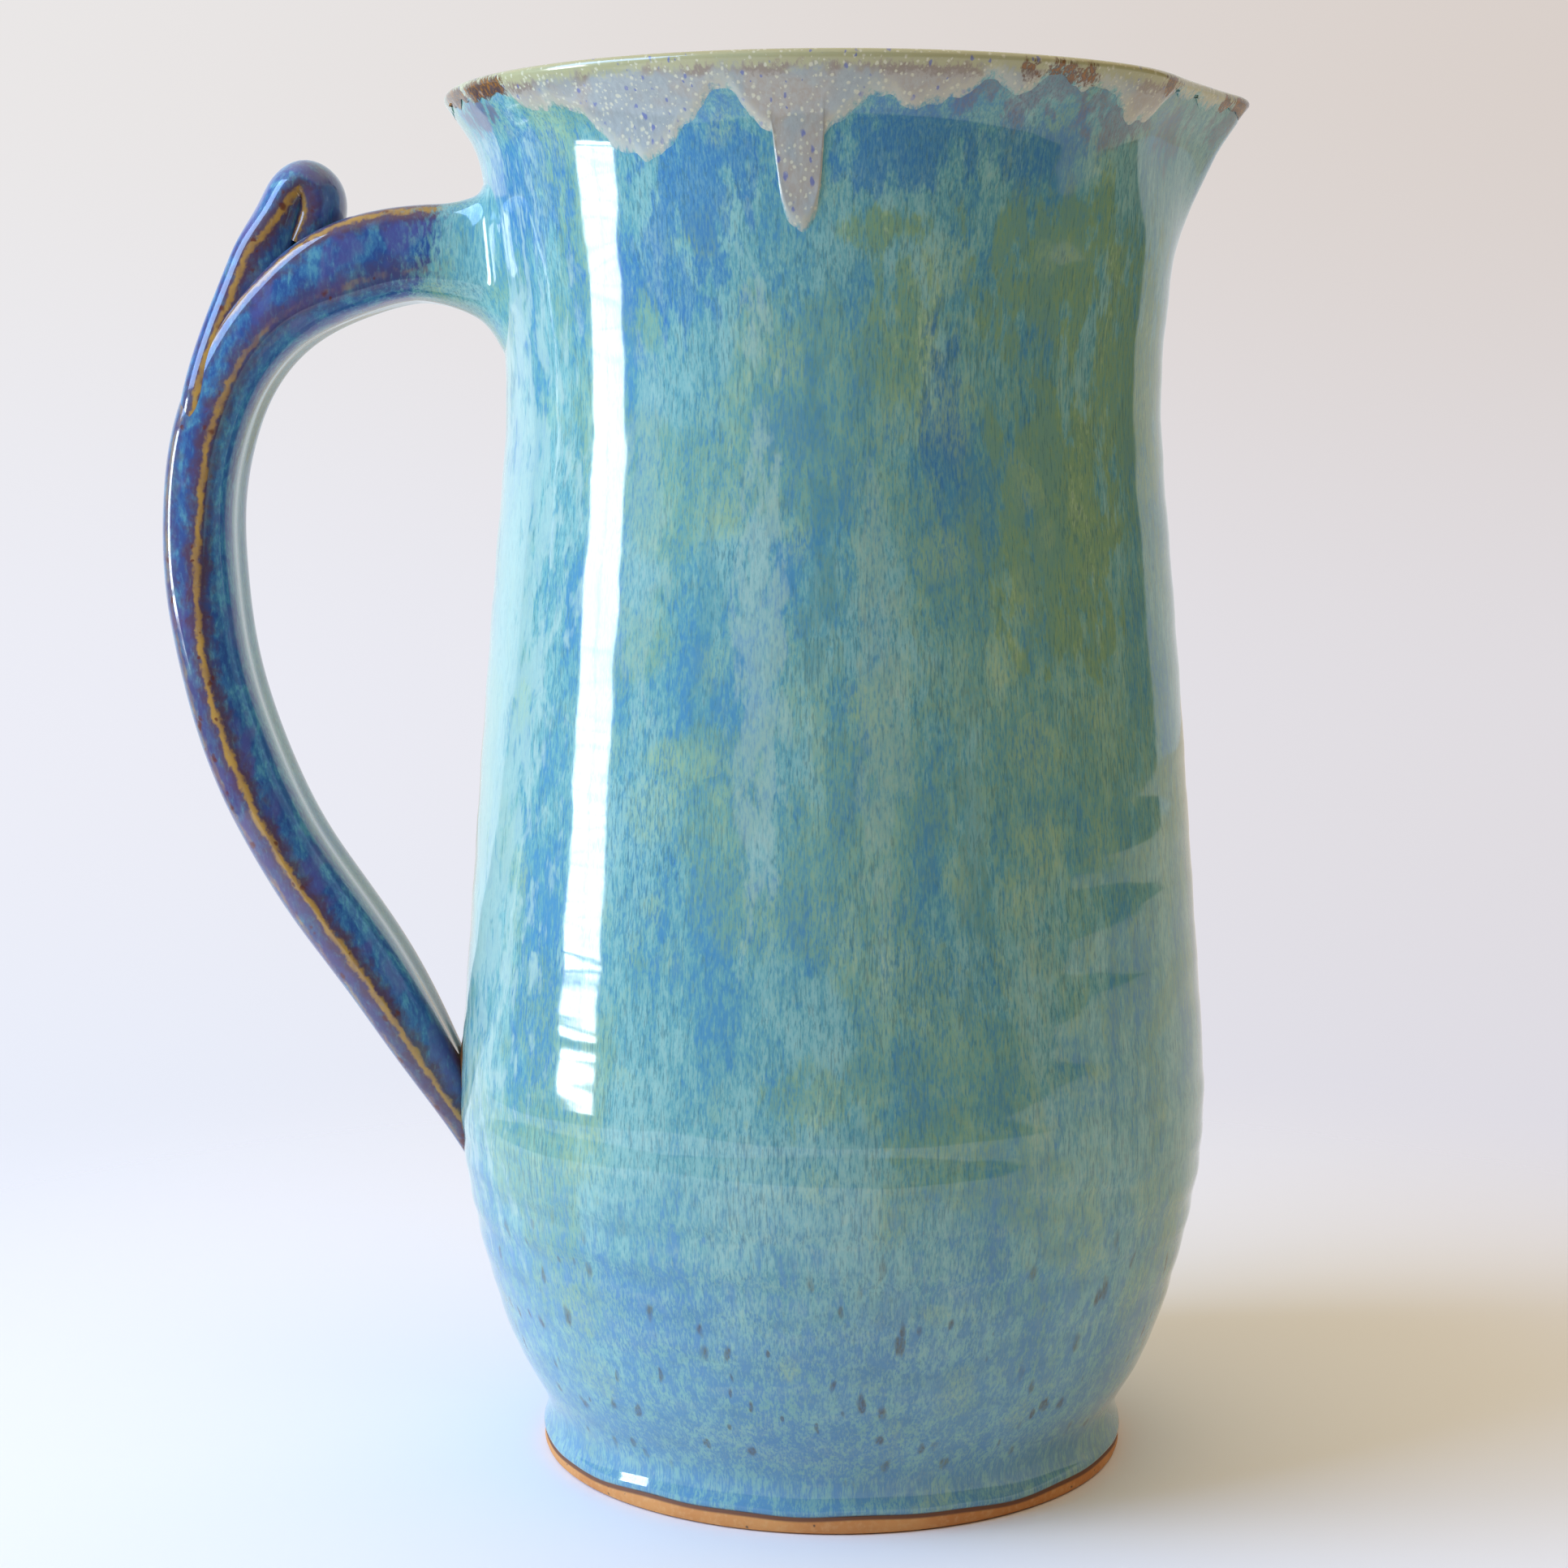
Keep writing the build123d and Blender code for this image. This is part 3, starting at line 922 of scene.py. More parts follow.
def over(tree, paint, tint, share, most=1.0):
    """Lay a tint over a paint by a share, never more than most."""
    return blend(tree, times(tree, share, most), paint, tint)


def stored(tree, name):
    """A number that was stored on the points."""
    return add(tree, "ShaderNodeAttribute", attribute_name=name).outputs["Fac"]


def height_at(tree, place):
    """The height of each point in millimetres."""
    apart = add(tree, "ShaderNodeSeparateXYZ")
    tree.links.new(place, apart.inputs[0])
    return times(tree, apart.outputs[2], 1000.0)


def colour(value):
    """Give a plain colour its fourth number, and leave a socket as it is."""
    return (*value, 1.0) if isinstance(value, tuple) and len(value) == 3 else value


def rise(tree, value, low, high):
    """0 below low and 1 above high, with a soft step between. Low may be above high."""
    node = add(tree, "ShaderNodeMapRange", interpolation_type="SMOOTHSTEP")
    flip = low > high
    numbers = (*sorted((low, high)), float(flip), float(not flip))
    for value, socket in zip((value, *numbers), node.inputs):
        wire(tree, value, socket)
    return node.outputs["Result"]


def new_group(name, inputs, outputs):
    """An empty node group with named sockets."""
    group = bpy.data.node_groups.new(name, "ShaderNodeTree")
    for way, sockets in (("INPUT", inputs), ("OUTPUT", outputs)):
        for label, kind in sockets:
            group.interface.new_socket(label, in_out=way, socket_type="NodeSocket" + kind)
    return group, group.nodes.new("NodeGroupInput").outputs, group.nodes.new("NodeGroupOutput").inputs


def use(tree, group, **values):
    """Place a group in a material, with its inputs, and return its outputs."""
    node = tree.nodes.new("ShaderNodeGroup")
    node.node_tree = group
    for key, value in values.items():
        wire(tree, value, node.inputs[key])
    return node.outputs


print("node helpers ready")

# %% [markdown]
# ### Feathers, pools, specks and hair lines
# `feathers` is noise drawn out along the height. `pool` is a soft-edged patch at a chosen
# place, whose outline is frayed by the feathers. `specks` scatters small dots, only some of
# which show. `ridge_break` turns the distance from a ridge into the gold line where glaze
# runs thin, with its brown borders.

# %% Shared effects
feathers, given, made = new_group(
    "feathers",
    [("Place", "Vector")] + [(name, "Float") for name in ("Width", "Length", "Shift")],
    [("Feather", "Float")],
)
scale = add(feathers, "ShaderNodeCombineXYZ")
for axis, size in enumerate(("Width", "Width", "Length")):
    feathers.links.new(sums(feathers, "DIVIDE", 1000.0, given[size]), scale.inputs[axis])
drawn = vectors(feathers, "MULTIPLY_ADD", given["Place"], scale.outputs[0], given["Shift"])[0]
grain = noise_at(feathers, drawn, Scale=1.0, Detail=3.0, Roughness=0.62, Distortion=0.35)["Fac"]
feathers.links.new(rise(feathers, grain, 0.25, 0.75), made["Feather"])


def feather(tree, place, width, length, shift):
    """Feathers of a width and length in millimetres. Each shift gives others."""
    return use(tree, feathers, Place=place, Width=width, Length=length, Shift=shift)["Feather"]


pool, given, made = new_group(
    "pool",
    [("Place", "Vector"), ("Centre", "Vector"), ("Size", "Vector"), ("Fray", "Float")],
    [("Share", "Float")],
)
away = vectors(pool, "SUBTRACT", given["Place"], given["Centre"])[0]
far = vectors(pool, "LENGTH", vectors(pool, "DIVIDE", away, given["Size"])[0])["Value"]
frayed = feather(pool, given["Place"], 3.0, 9.0, 3.0)
frayed = sums(pool, "SUBTRACT", frayed, 0.5)
frayed = sums(pool, "MULTIPLY_ADD", frayed, given["Fray"], far)
pool.links.new(rise(pool, frayed, 1.15, 0.45), made["Share"])

specks, given, made = new_group(
    "specks",
    [("Place", "Vector")] + [(name, "Float") for name in ("Spacing", "Tall", "Few", "Radius")],
    [("Share", "Float")],
)
scale = add(specks, "ShaderNodeCombineXYZ")
for axis, size in enumerate(("Spacing", "Spacing", "Tall")):
    divisor = given["Spacing"] if axis < 2 else times(specks, given["Spacing"], given["Tall"])
    specks.links.new(sums(specks, "DIVIDE", 1000.0, divisor), scale.inputs[axis])
drawn = vectors(specks, "MULTIPLY", given["Place"], scale.outputs[0])[0]
warp = noise_at(specks, drawn, Scale=1.7, Detail=1.0)["Color"]
cells = add(specks, "ShaderNodeTexVoronoi", Scale=1.0)
bent = vectors(specks, "MULTIPLY_ADD", warp, (0.5, 0.5, 0.5), drawn)[0]
specks.links.new(bent, cells.inputs["Vector"])
split = add(specks, "ShaderNodeSeparateColor")
specks.links.new(cells.outputs["Color"], split.inputs[0])
shown = sums(specks, "GREATER_THAN", split.outputs[0], given["Few"])
size = times(specks, given["Radius"], sums(specks, "ADD", split.outputs[1], 0.5))
inside = sums(specks, "SUBTRACT", 1.0, sums(specks, "DIVIDE", cells.outputs["Distance"], size))
specks.links.new(times(specks, rise(specks, inside, 0.0, 0.5), shown), made["Share"])


def speckle(tree, place, spacing, tall, few, radius):
    """Specks at a spacing in millimetres, stretched upright by tall, with a share left out."""
    return use(tree, specks, Place=place, Spacing=spacing, Tall=tall, Few=few, Radius=radius)["Share"]


ridge_break, given, made = new_group(
    "ridge_break",
    [("Place", "Vector"), ("Ridge", "Float")],
    [("Gold", "Float"), ("Brown", "Float"), ("Pits", "Float")],
)
waver = feather(ridge_break, given["Place"], 2.5, 2.5, 7.0)
waver = sums(ridge_break, "MULTIPLY_ADD", waver, 0.9, -0.45)
crooked = sums(ridge_break, "ABSOLUTE", sums(ridge_break, "ADD", given["Ridge"], waver))
ridge_break.links.new(rise(ridge_break, crooked, 0.85, 0.2), made["Gold"])
wide = sums(ridge_break, "ABSOLUTE", sums(ridge_break, "MULTIPLY_ADD", waver, 2.2, given["Ridge"]))
ridge_break.links.new(rise(ridge_break, wide, 3.6, 0.6), made["Brown"])
pits = speckle(ridge_break, given["Place"], 2.6, 1.0, 0.45, 0.3)
near = rise(ridge_break, wide, 2.2, 0.8)
ridge_break.links.new(times(ridge_break, pits, near), made["Pits"])
print("groups", [g.name for g in bpy.data.node_groups])

# %% [markdown]
# ## A glazed surface
# Every glaze here is glass over clay, so each finish ends in the same kind of Principled
# shader: a colour, a low roughness, and a very fine bump for the skin of the glass, which
# stops the reflections from being as straight as a mirror's.

# %% Glaze material


def start_finish(name):
    """A new material with its Principled shader and Object coordinates."""
    material = bpy.data.materials.new(name)
    material.use_nodes = True
    tree = material.node_tree
    place = tree.nodes.new("ShaderNodeTexCoord").outputs["Object"]
    return material, tree, tree.nodes["Principled BSDF"], place


GLAZE_IOR = 1.6  # a shiny stoneware glaze bends light more than window glass
SKIN_DEPTH = 0.06 * MM
SKIN_STRENGTH = 0.25


def finish_glaze(material, shader, place, paint, roughness):
    """Give a glaze its colour, its shine and the fine unevenness of fired glass."""
    tree = material.node_tree
    tree.links.new(paint, shader.inputs["Base Color"])
    shader.inputs["Roughness"].default_value = roughness
    shader.inputs["IOR"].default_value = GLAZE_IOR
    skin = noise_at(tree, place, Scale=170.0, Detail=3.0, Roughness=0.5)["Fac"]
    emboss(tree, shader, skin, SKIN_STRENGTH, SKIN_DEPTH)
    print(material.name, len(tree.nodes), "nodes")


def on_pot(turn_degrees, height):
    """A place on the glazed wall, in metres."""
    return ring(math.radians(turn_degrees), float(wall_radius(float(height))), height)


DEEP_BLUE = (0.045, 0.17, 0.38)
BLUE = (0.075, 0.25, 0.375)
TEAL = (0.13, 0.34, 0.34)
TURQUOISE = (0.24, 0.46, 0.42)
SEA_GREEN = (0.17, 0.32, 0.21)
OLIVE = (0.21, 0.33, 0.13)
PALE_GREEN = (0.36, 0.49, 0.25)
PERIWINKLE = (0.12, 0.28, 0.44)
CELADON = (0.32, 0.52, 0.43)
UMBER = (0.07, 0.045, 0.035)
GOLD = (0.42, 0.235, 0.05)

# Patches on the wall: turn and height of the middle, half sizes across and along, strength
BLUE_POOLS = [
    (-112, 222, 12, 15, 0.9), (-152, 221, 20, 16, 0.8), (-80, 226, 15, 8, 0.9),
    (-121, 206, 16, 9, 0.75), (-73, 184, 5, 16, 0.7), (-60, 226, 14, 7, 0.7), (-108, 172, 6, 20, 0.2),
    (-75, 96, 14, 11, 0.25), (-120, 118, 10, 22, 0.3), (-98, 62, 12, 16, 0.2), (-140, 88, 10, 18, 0.4),
    (-96, 104, 22, 7, 0.25), (-118, 40, 22, 9, 0.55), (-88, 34, 18, 7, 0.5), (-70, 45, 8, 10, 0.4),
    (-95, 18, 16, 6, 0.45), (35, 221, 22, 12, 0.8), (95, 214, 20, 14, 0.8), (150, 219, 18, 15, 0.8),
    (70, 150, 12, 30, 0.5), (120, 120, 14, 30, 0.5), (20, 110, 12, 24, 0.4),
]
GREEN_POOLS = [
    (-55, 150, 42, 75, 0.42),
    (-52, 208, 20, 16, 0.9), (-52, 166, 17, 26, 1.0), (-80, 194, 8, 16, 0.7), (-30, 190, 22, 26, 0.8),
    (-70, 160, 14, 12, 0.5), (-45, 130, 16, 18, 0.5), (-95, 145, 8, 14, 0.35), (-92, 77, 12, 6, 0.5),
    (-76, 70, 10, 8, 0.55), (-60, 115, 8, 8, 0.45), (-112, 213, 4, 4, 0.7), (-83, 214, 8, 3.5, 0.8),
    (10, 150, 20, 40, 0.7), (60, 190, 18, 24, 0.6), (100, 160, 16, 26, 0.6), (140, 170, 12, 22, 0.5),
]


def pools(tree, place, spots):
    """The strongest of several patches at each point."""
    total = 0.0
    for turn, height, across_mm, along_mm, strength in spots:
        share = use(
            tree, pool, Place=place, Centre=on_pot(turn, height), Fray=1.1,
            Size=(across_mm * MM, across_mm * MM, along_mm * MM),
        )["Share"]
        total = sums(tree, "MAXIMUM", total, times(tree, share, strength))
    return total


def running_glaze(tree, place, with_pools=True):
    """The colour of the streaked blue-green glaze, used on the wall and the handle's roots."""
    fine = feather(tree, place, 0.36, 1.8, 0.0)
    middle = feather(tree, place, 1.6, 6.0, 5.0)
    runs = feather(tree, place, 9.0, 110.0, 11.0)
    patch = feather(tree, place, 17.0, 26.0, 17.0)
    cloud = feather(tree, place, 26.0, 40.0, 29.0)
    tone = times(tree, fine, 0.30)
    tone = sums(tree, "MULTIPLY_ADD", middle, 0.22, tone)
    tone = sums(tree, "MULTIPLY_ADD", patch, 0.28, tone)
    tone = sums(tree, "MULTIPLY_ADD", runs, 0.24, tone)
    paint = blend(tree, rise(tree, tone, 0.26, 0.5), BLUE, TEAL)
    paint = blend(tree, rise(tree, tone, 0.42, 0.70), paint, TURQUOISE)
    paint = blend(tree, rise(tree, tone, 0.66, 0.92), paint, CELADON)
    green = times(tree, rise(tree, cloud, 0.5, 0.8), 0.45)
    if with_pools:
        green = sums(tree, "MAXIMUM", green, pools(tree, place, GREEN_POOLS))
    moss = blend(tree, rise(tree, tone, 0.40, 0.68), SEA_GREEN, OLIVE)
    moss = blend(tree, rise(tree, tone, 0.62, 0.88), moss, PALE_GREEN)
    grained = ruffled(tree, green, fine, 0.4)
    paint = over(tree, paint, moss, rise(tree, grained, 0.0, 0.95), 0.85)
    if with_pools:
        blue = pools(tree, place, BLUE_POOLS)
        grained = sums(tree, "MULTIPLY_ADD", sums(tree, "SUBTRACT", 0.5, fine), 0.5, blue)
        deep = blend(tree, fine, DEEP_BLUE, BLUE)
        paint = over(tree, paint, deep, rise(tree, grained, 0.05, 1.0), 0.8)
    threads = feather(tree, place, 0.35, 4.0, 53.0)
    threads = times(tree, rise(tree, sums(tree, "MULTIPLY_ADD", patch, 0.3, threads), 0.72, 1.1), 0.5)
    paint = blend(tree, threads, paint, (0.06, 0.16, 0.18))
    return paint, fine, middle


# Patches under the lip where the rim's glaze burned through: the same five numbers
BRUISES = [
    (-158, 234.5, 9, 2.8, 0.8), (-62, 235.5, 17, 5.5, 0.6), (-42, 231.5, 10, 5.0, 0.6),
    (-24, 231, 9, 6.0, 0.5), (-6, 235.0, 9, 3.4, 0.55), (150, 234.5, 10, 2.6, 0.7),
    (40, 235.0, 9, 2.4, 0.6),
]
# Runs that ended pale, with one broad pale patch on the window's side that is painted light, and runs
# where the blue shows through
PALE_RUNS_AND_LIT_SIDE = [
    # The first patch, broad and low on the window's side, is painted light: it lightens the side that
    # the window lights.
    (-160, 140, 24, 95, 0.75), (-102, 150, 5, 62, 0.5), (-84, 140, 5, 48, 0.35),
    (-122, 165, 5, 50, 0.35), (-60, 90, 5, 34, 0.25), (60, 150, 5, 60, 0.5), (110, 130, 6, 55, 0.5),
    (15, 140, 5, 50, 0.4),
]
DARK_RUNS = [
    (-93, 165, 3.2, 58, 0.35), (-110, 150, 3, 48, 0.3), (-70, 120, 3, 40, 0.35),
    (84, 150, 3.2, 55, 0.5), (140, 150, 4, 50, 0.4),
]
wall_finish, tree, shader, place = start_finish("running_wall_glaze")
paint, fine, middle = running_glaze(tree, place)
height_mm = height_at(tree, place)
# Pale runs with the patch of painted light on the window's side, then dark runs.
for runs, tint in ((PALE_RUNS_AND_LIT_SIDE, (0.38, 0.53, 0.45)), (DARK_RUNS, (0.05, 0.19, 0.23))):
    share = ruffled(tree, pools(tree, place, runs), fine, 0.28)
    paint = over(tree, paint, tint, rise(tree, share, 0.0, 0.9), 0.75)
# Towards the foot the coat is thinner, paler and bluer, with bands along the throwing rings
low = ruffled(tree, height_mm, middle, 26.0)
thin = blend(tree, rise(tree, sums(tree, "ADD", fine, middle), 0.7, 1.6), PERIWINKLE, TURQUOISE)
paint = over(tree, paint, thin, rise(tree, low, 62.0, 22.0), 0.7)
bands = feather(tree, place, 15.0, 4.0, 71.0)
banded = rise(tree, height_mm, 100.0, 60.0)
light_bands = times(tree, times(tree, rise(tree, bands, 0.55, 0.95), banded), fine)
paint = over(tree, paint, (0.40, 0.54, 0.44), light_bands, 0.25)
dark_bands = times(tree, rise(tree, bands, 0.4, 0.05), banded)
paint = over(tree, paint, (0.06, 0.19, 0.27), dark_bands, 0.2)
blobs = speckle(tree, place, 12.0, 1.2, 0.5, 0.40)
blobs = times(tree, blobs, sums(tree, "MULTIPLY_ADD", fine, 0.4, 0.02))
paint = blend(tree, blobs, paint, PALE_GREEN)
dashes = speckle(tree, place, 3.2, 3.0, 0.15, 0.25)
in_band = times(tree, rise(tree, height_mm, 6.0, 14.0), rise(tree, height_mm, 62.0, 36.0))
dashes = times(tree, times(tree, dashes, in_band), sums(tree, "MULTIPLY_ADD", fine, 0.7, 0.3))
paint = over(tree, paint, UMBER, dashes, 0.85)
bruise = ruffled(tree, pools(tree, place, BRUISES), fine, 0.5)
paint = over(tree, paint, (0.13, 0.10, 0.17), rise(tree, bruise, 0.05, 0.9), 0.75)
edge_line = stored(tree, "edge_mm")
paint = blend(tree, rise(tree, edge_line, 0.75, 0.25), paint, UMBER)
finish_glaze(wall_finish, shader, place, paint, 0.07)

# %% [markdown]
# ## The rim's glaze
# Over the lip the glaze is pale, nearly opaque and full of specks. Round each drip it is
# paler still. On the sharp outer edge of the lip and on the spout it broke and burned gold
# and brown. A dark band along the lip's lower edge is partly painted shade under the overhang.

# %% Rim material
rim_finish, tree, shader, place = start_finish("speckled_rim_glaze")
LILAC = (0.30, 0.33, 0.31)
WARM_GREY = (0.37, 0.32, 0.25)
CREAM = (0.62, 0.60, 0.42)
LIP_GREEN = (0.42, 0.40, 0.19)
INK = (0.10, 0.13, 0.34)
fine = feather(tree, place, 0.8, 2.2, 2.0)
cloud = feather(tree, place, 12.0, 14.0, 9.0)
paint = blend(tree, rise(tree, cloud, 0.3, 0.75), LILAC, WARM_GREY)
paint = over(tree, paint, (0.46, 0.50, 0.47), fine, 0.4)
height_mm = height_at(tree, place)
lip = ruffled(tree, height_mm, fine, 1.5)
paint = over(tree, paint, LIP_GREEN, rise(tree, lip, 236.4, 238.4), 0.85)
# Painted shade and brown burn: a dark band along the lip's lower edge, partly the shade under the
# overhanging lip and partly glaze burned brown.
shade_and_burn_under_lip = sums(tree, "ABSOLUTE", sums(tree, "SUBTRACT", lip, 237.0))
shade_and_burn_under_lip = times(tree, rise(tree, shade_and_burn_under_lip, 1.1, 0.1), rise(tree, cloud, 0.3, 0.7))
edge_line = stored(tree, "edge_mm")
outside = rise(tree, edge_line, 50.0, 35.0)
shade_and_burn_under_lip = times(tree, shade_and_burn_under_lip, outside)
paint = over(tree, paint, (0.20, 0.13, 0.09), shade_and_burn_under_lip, 0.6)
dots = speckle(tree, place, 0.8, 1.2, 0.35, 0.36)
paint = over(tree, paint, CREAM, dots, 0.75)
inky = speckle(tree, place, 1.3, 1.9, 0.6, 0.27)
paint = over(tree, paint, INK, inky, 0.75)
frayed = sums(tree, "MULTIPLY_ADD", fine, 1.8, edge_line)
paint = over(tree, paint, CREAM, rise(tree, frayed, 4.4, 2.2), 0.4)
wall_paint, _, _ = running_glaze(tree, place, with_pools=False)
paint = blend(tree, rise(tree, frayed, 2.6, 0.7), paint, wall_paint)
# Turn, height, half sizes across and along, strength of the burned patches
BURNED = [
    (-163, 237.5, 9, 6, 1.0), (-150, 237.5, 9, 6, 0.9), (-57, 237.5, 9, 4, 0.55),
    (-34, 237.5, 4, 5, 0.9), (-4, 237.5, 9, 7, 1.1), (35, 237.5, 7, 5, 0.8), (75, 237.5, 9, 5, 0.7),
    (160, 237.5, 9, 6, 0.9),
]
burned = pools(tree, place, BURNED)
streak = feather(tree, place, 0.6, 2.2, 23.0)
from_lip = sums(tree, "ABSOLUTE", sums(tree, "SUBTRACT", height_mm, 237.7))
on_lip = times(tree, times(tree, burned, outside), rise(tree, from_lip, 2.6, 0.2))
scorched = ruffled(tree, on_lip, streak, 0.9)
scorched = times(tree, rise(tree, scorched, 0.05, 0.6), rise(tree, on_lip, 0.0, 0.15))
paint = over(tree, paint, (0.085, 0.03, 0.02), scorched, 0.9)
golden = times(tree, rise(tree, streak, 0.5, 0.75), rise(tree, on_lip, 0.1, 0.6))
paint = over(tree, paint, (0.36, 0.15, 0.02), golden, 0.75)
finish_glaze(rim_finish, shader, place, paint, 0.10)

# %% [markdown]
# ## The handle's glaze
# The handle is the bluest part, with violet and teal clouds. Along each arris the glaze
# ran off and broke gold, with purple-brown borders and small dark pits. The distance from
# the arris was stored on the points, so the line follows the strap however it bends.

# %% Handle material
handle_finish, tree, shader, place = start_finish("broken_handle_glaze")
VIOLET = (0.10, 0.09, 0.26)
wall_paint, _, _ = running_glaze(tree, place, with_pools=False)
fine = feather(tree, place, 0.7, 1.8, 31.0)
middle = feather(tree, place, 3.0, 5.0, 37.0)
cloud = feather(tree, place, 9.0, 13.0, 41.0)
tone = sums(tree, "MULTIPLY_ADD", fine, 0.4, times(tree, middle, 0.6))
paint = blend(tree, rise(tree, tone, 0.25, 0.6), (0.03, 0.085, 0.25), (0.045, 0.155, 0.31))
paint = over(tree, paint, (0.11, 0.34, 0.40), rise(tree, tone, 0.52, 0.92), 0.75)
paint = over(tree, paint, VIOLET, rise(tree, cloud, 0.45, 0.8), 0.65)
ridge_mm = stored(tree, "ridge_mm")
crest_mm = stored(tree, "crest_mm")
on_arch = stored(tree, "on_arch")
crest_gold = sums(tree, "MULTIPLY_ADD", on_arch, 0.6, 0.25)  # strong on the arch only
ridge_gold = sums(tree, "MULTIPLY_ADD", on_arch, -0.75, 0.9)  # strong below the arch
for edge, strength in ((crest_mm, crest_gold), (ridge_mm, ridge_gold)):
    broken = use(tree, ridge_break, Place=place, Ridge=edge)
    brown = times(tree, broken["Brown"], sums(tree, "MULTIPLY_ADD", strength, 0.5, 0.4))
    paint = blend(tree, brown, paint, (0.10, 0.045, 0.055))
    patchy = ruffled(tree, strength, middle, 0.5)
    paint = blend(tree, times(tree, broken["Gold"], patchy, clamp=True), paint, GOLD)
    paint = over(tree, paint, (0.12, 0.03, 0.02), broken["Pits"], 0.85)
# Painted reflection: the strap's face towards the wall gets the paler wall glaze, standing in for the
# pale backdrop mirrored there.
inner_face_reflection = rise(tree, sums(tree, "MULTIPLY_ADD", tone, -3.0, ridge_mm), -7.5, -13.0)
paint = over(tree, paint, wall_paint, inner_face_reflection, 0.75)
root_share = stored(tree, "on_root")
root_share = ruffled(tree, root_share, fine, 0.5)
paint = blend(tree, rise(tree, root_share, 0.1, 0.7), paint, wall_paint)
finish_glaze(handle_finish, shader, place, paint, 0.07)

# %% [markdown]
# ## Bare clay and the liner
# The foot is the only clay that shows. It is matt and orange, with fine grit and iron
# specks, and it darkens where the glaze ends. The liner is the wall's glaze, thinner and
# paler.

# %% Clay and liner materials


def clay_finish(name, base, dark):
    """Matt fired clay with grit and iron specks."""
    material, tree, shader, place = start_finish(name)
    grit = noise_at(tree, place, Scale=900.0, Detail=4.0, Roughness=0.6)["Fac"]
    bloom = noise_at(tree, place, Scale=60.0, Detail=2.0)["Fac"]
    paint = blend(tree, rise(tree, bloom, 0.35, 0.65), base, dark)
    paint = over(tree, paint, (0.72, 0.40, 0.16), rise(tree, grit, 0.45, 0.7), 0.4)
    iron = speckle(tree, place, 1.6, 1.0, 0.8, 0.22)
    paint = over(tree, paint, UMBER, iron, 0.8)
    tree.links.new(paint, shader.inputs["Base Color"])
    tree.links.new(sums(tree, "MULTIPLY_ADD", grit, 0.2, 0.62), shader.inputs["Roughness"])
    emboss(tree, shader, grit, 0.5, 0.12 * MM)
    return material, tree, shader, paint


ORANGE_CLAY, BROWN_CLAY = (0.66, 0.29, 0.08), (0.56, 0.21, 0.05)
body_finish, tree, shader, paint = clay_finish("bare_foot_clay", ORANGE_CLAY, BROWN_CLAY)
edge_line = stored(tree, "edge_mm")
paint = blend(tree, rise(tree, edge_line, -0.55, -0.1), paint, (0.16, 0.06, 0.025))
tree.links.new(paint, shader.inputs["Base Color"])
strap_finish = clay_finish("strap_clay", (0.58, 0.31, 0.14), (0.48, 0.22, 0.09))[0]
joint_finish = clay_finish("joining_clay", (0.52, 0.27, 0.12), (0.44, 0.20, 0.08))[0]

liner_finish, tree, shader, place = start_finish("poured_liner_glaze")
wall_paint, fine, middle = running_glaze(tree, place, with_pools=False)
paint = blend(tree, 0.45, wall_paint, (0.36, 0.55, 0.56))
finish_glaze(liner_finish, shader, place, paint, 0.09)

# %% [markdown]
# ## Distances from the edges of the glaze
# Two finishes change close to the edge of a coat, so that distance is stored on the
# points, as the arris was on the strap.

# %% Edge distances
INSIDE_THE_LIP = 60.0  # stored for the inside, where the drips' edge is far away
for piece, edge_of in ((wall_glaze, foot_edge), (clay_body, foot_edge), (rim_glaze, coat_edge)):
    places = points_of(piece) / MM
    around = np.arctan2(places[:, 1], places[:, 0])
    above = places[:, 2] - edge_of(around)
    if piece is rim_glaze:
        inside = np.hypot(places[:, 0], places[:, 1]) < inside_form(around, places[:, 2]) + 1.5
        above = np.where(inside & (places[:, 2] < 238), INSIDE_THE_LIP, above)
    if piece is clay_body:
        above = np.where(np.hypot(places[:, 0], places[:, 1]) < RECESS_RADIUS + 3, -20.0, above)
    keep(piece, "edge_mm", above)
print("edges stored")

# %% [markdown]
# ## Dress the pieces and join them to the frame
# Each piece gets its finish, hides the CAD node it stands for, and rides on the one body.

# %% Dress
PIECES = [
    (clay_body, body_finish, "thrown_body", "bare_clay"),
    (strap_clay, strap_finish, "handle", "handle_clay"),
    (thumb_clay, strap_finish, "thumb_rest", "handle_clay"),
    (upper_root, joint_finish, "upper_handle_joint", "joining_clay"),
    (tail_slip, joint_finish, "lower_handle_joint", "joining_clay"),
    (wall_glaze, wall_finish, "wall_glaze", "wall_glaze"),
    (rim_glaze, rim_finish, "rim_glaze", "rim_glaze"),
    (handle_glaze, handle_finish, "handle_glaze", "handle_glaze"),
    (liner_glaze, liner_finish, "liner_glaze", "liner_glaze"),
]
for piece, finish, node, slot in PIECES:
    piece.data.materials.clear()
    piece.data.materials.append(finish)
    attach(piece, "root")
    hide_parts(node)
print(len(PIECES), "pieces")

# %% [markdown]
# ## The studio
# Shiny pots show the room they stand in, so the room matters as much as the glaze. A sheet
# of white paper lies under the pitcher, and its front edge is close, so the lower belly
# reflects paper and everything above it reflects a dim room. A tall paned window stands on
# the left. The table round the paper and the pale bowl behind it are seen by the camera
# only, never by a reflection. The bowl glows with painted light: bright and cool on the
# window's side, dimmer and warmer on the right.

# %% Floor and backdrop
PAPER_FRONT = -335 * MM
PAPER_LEFT = -330 * MM
BOWL_RADIUS = 2.6


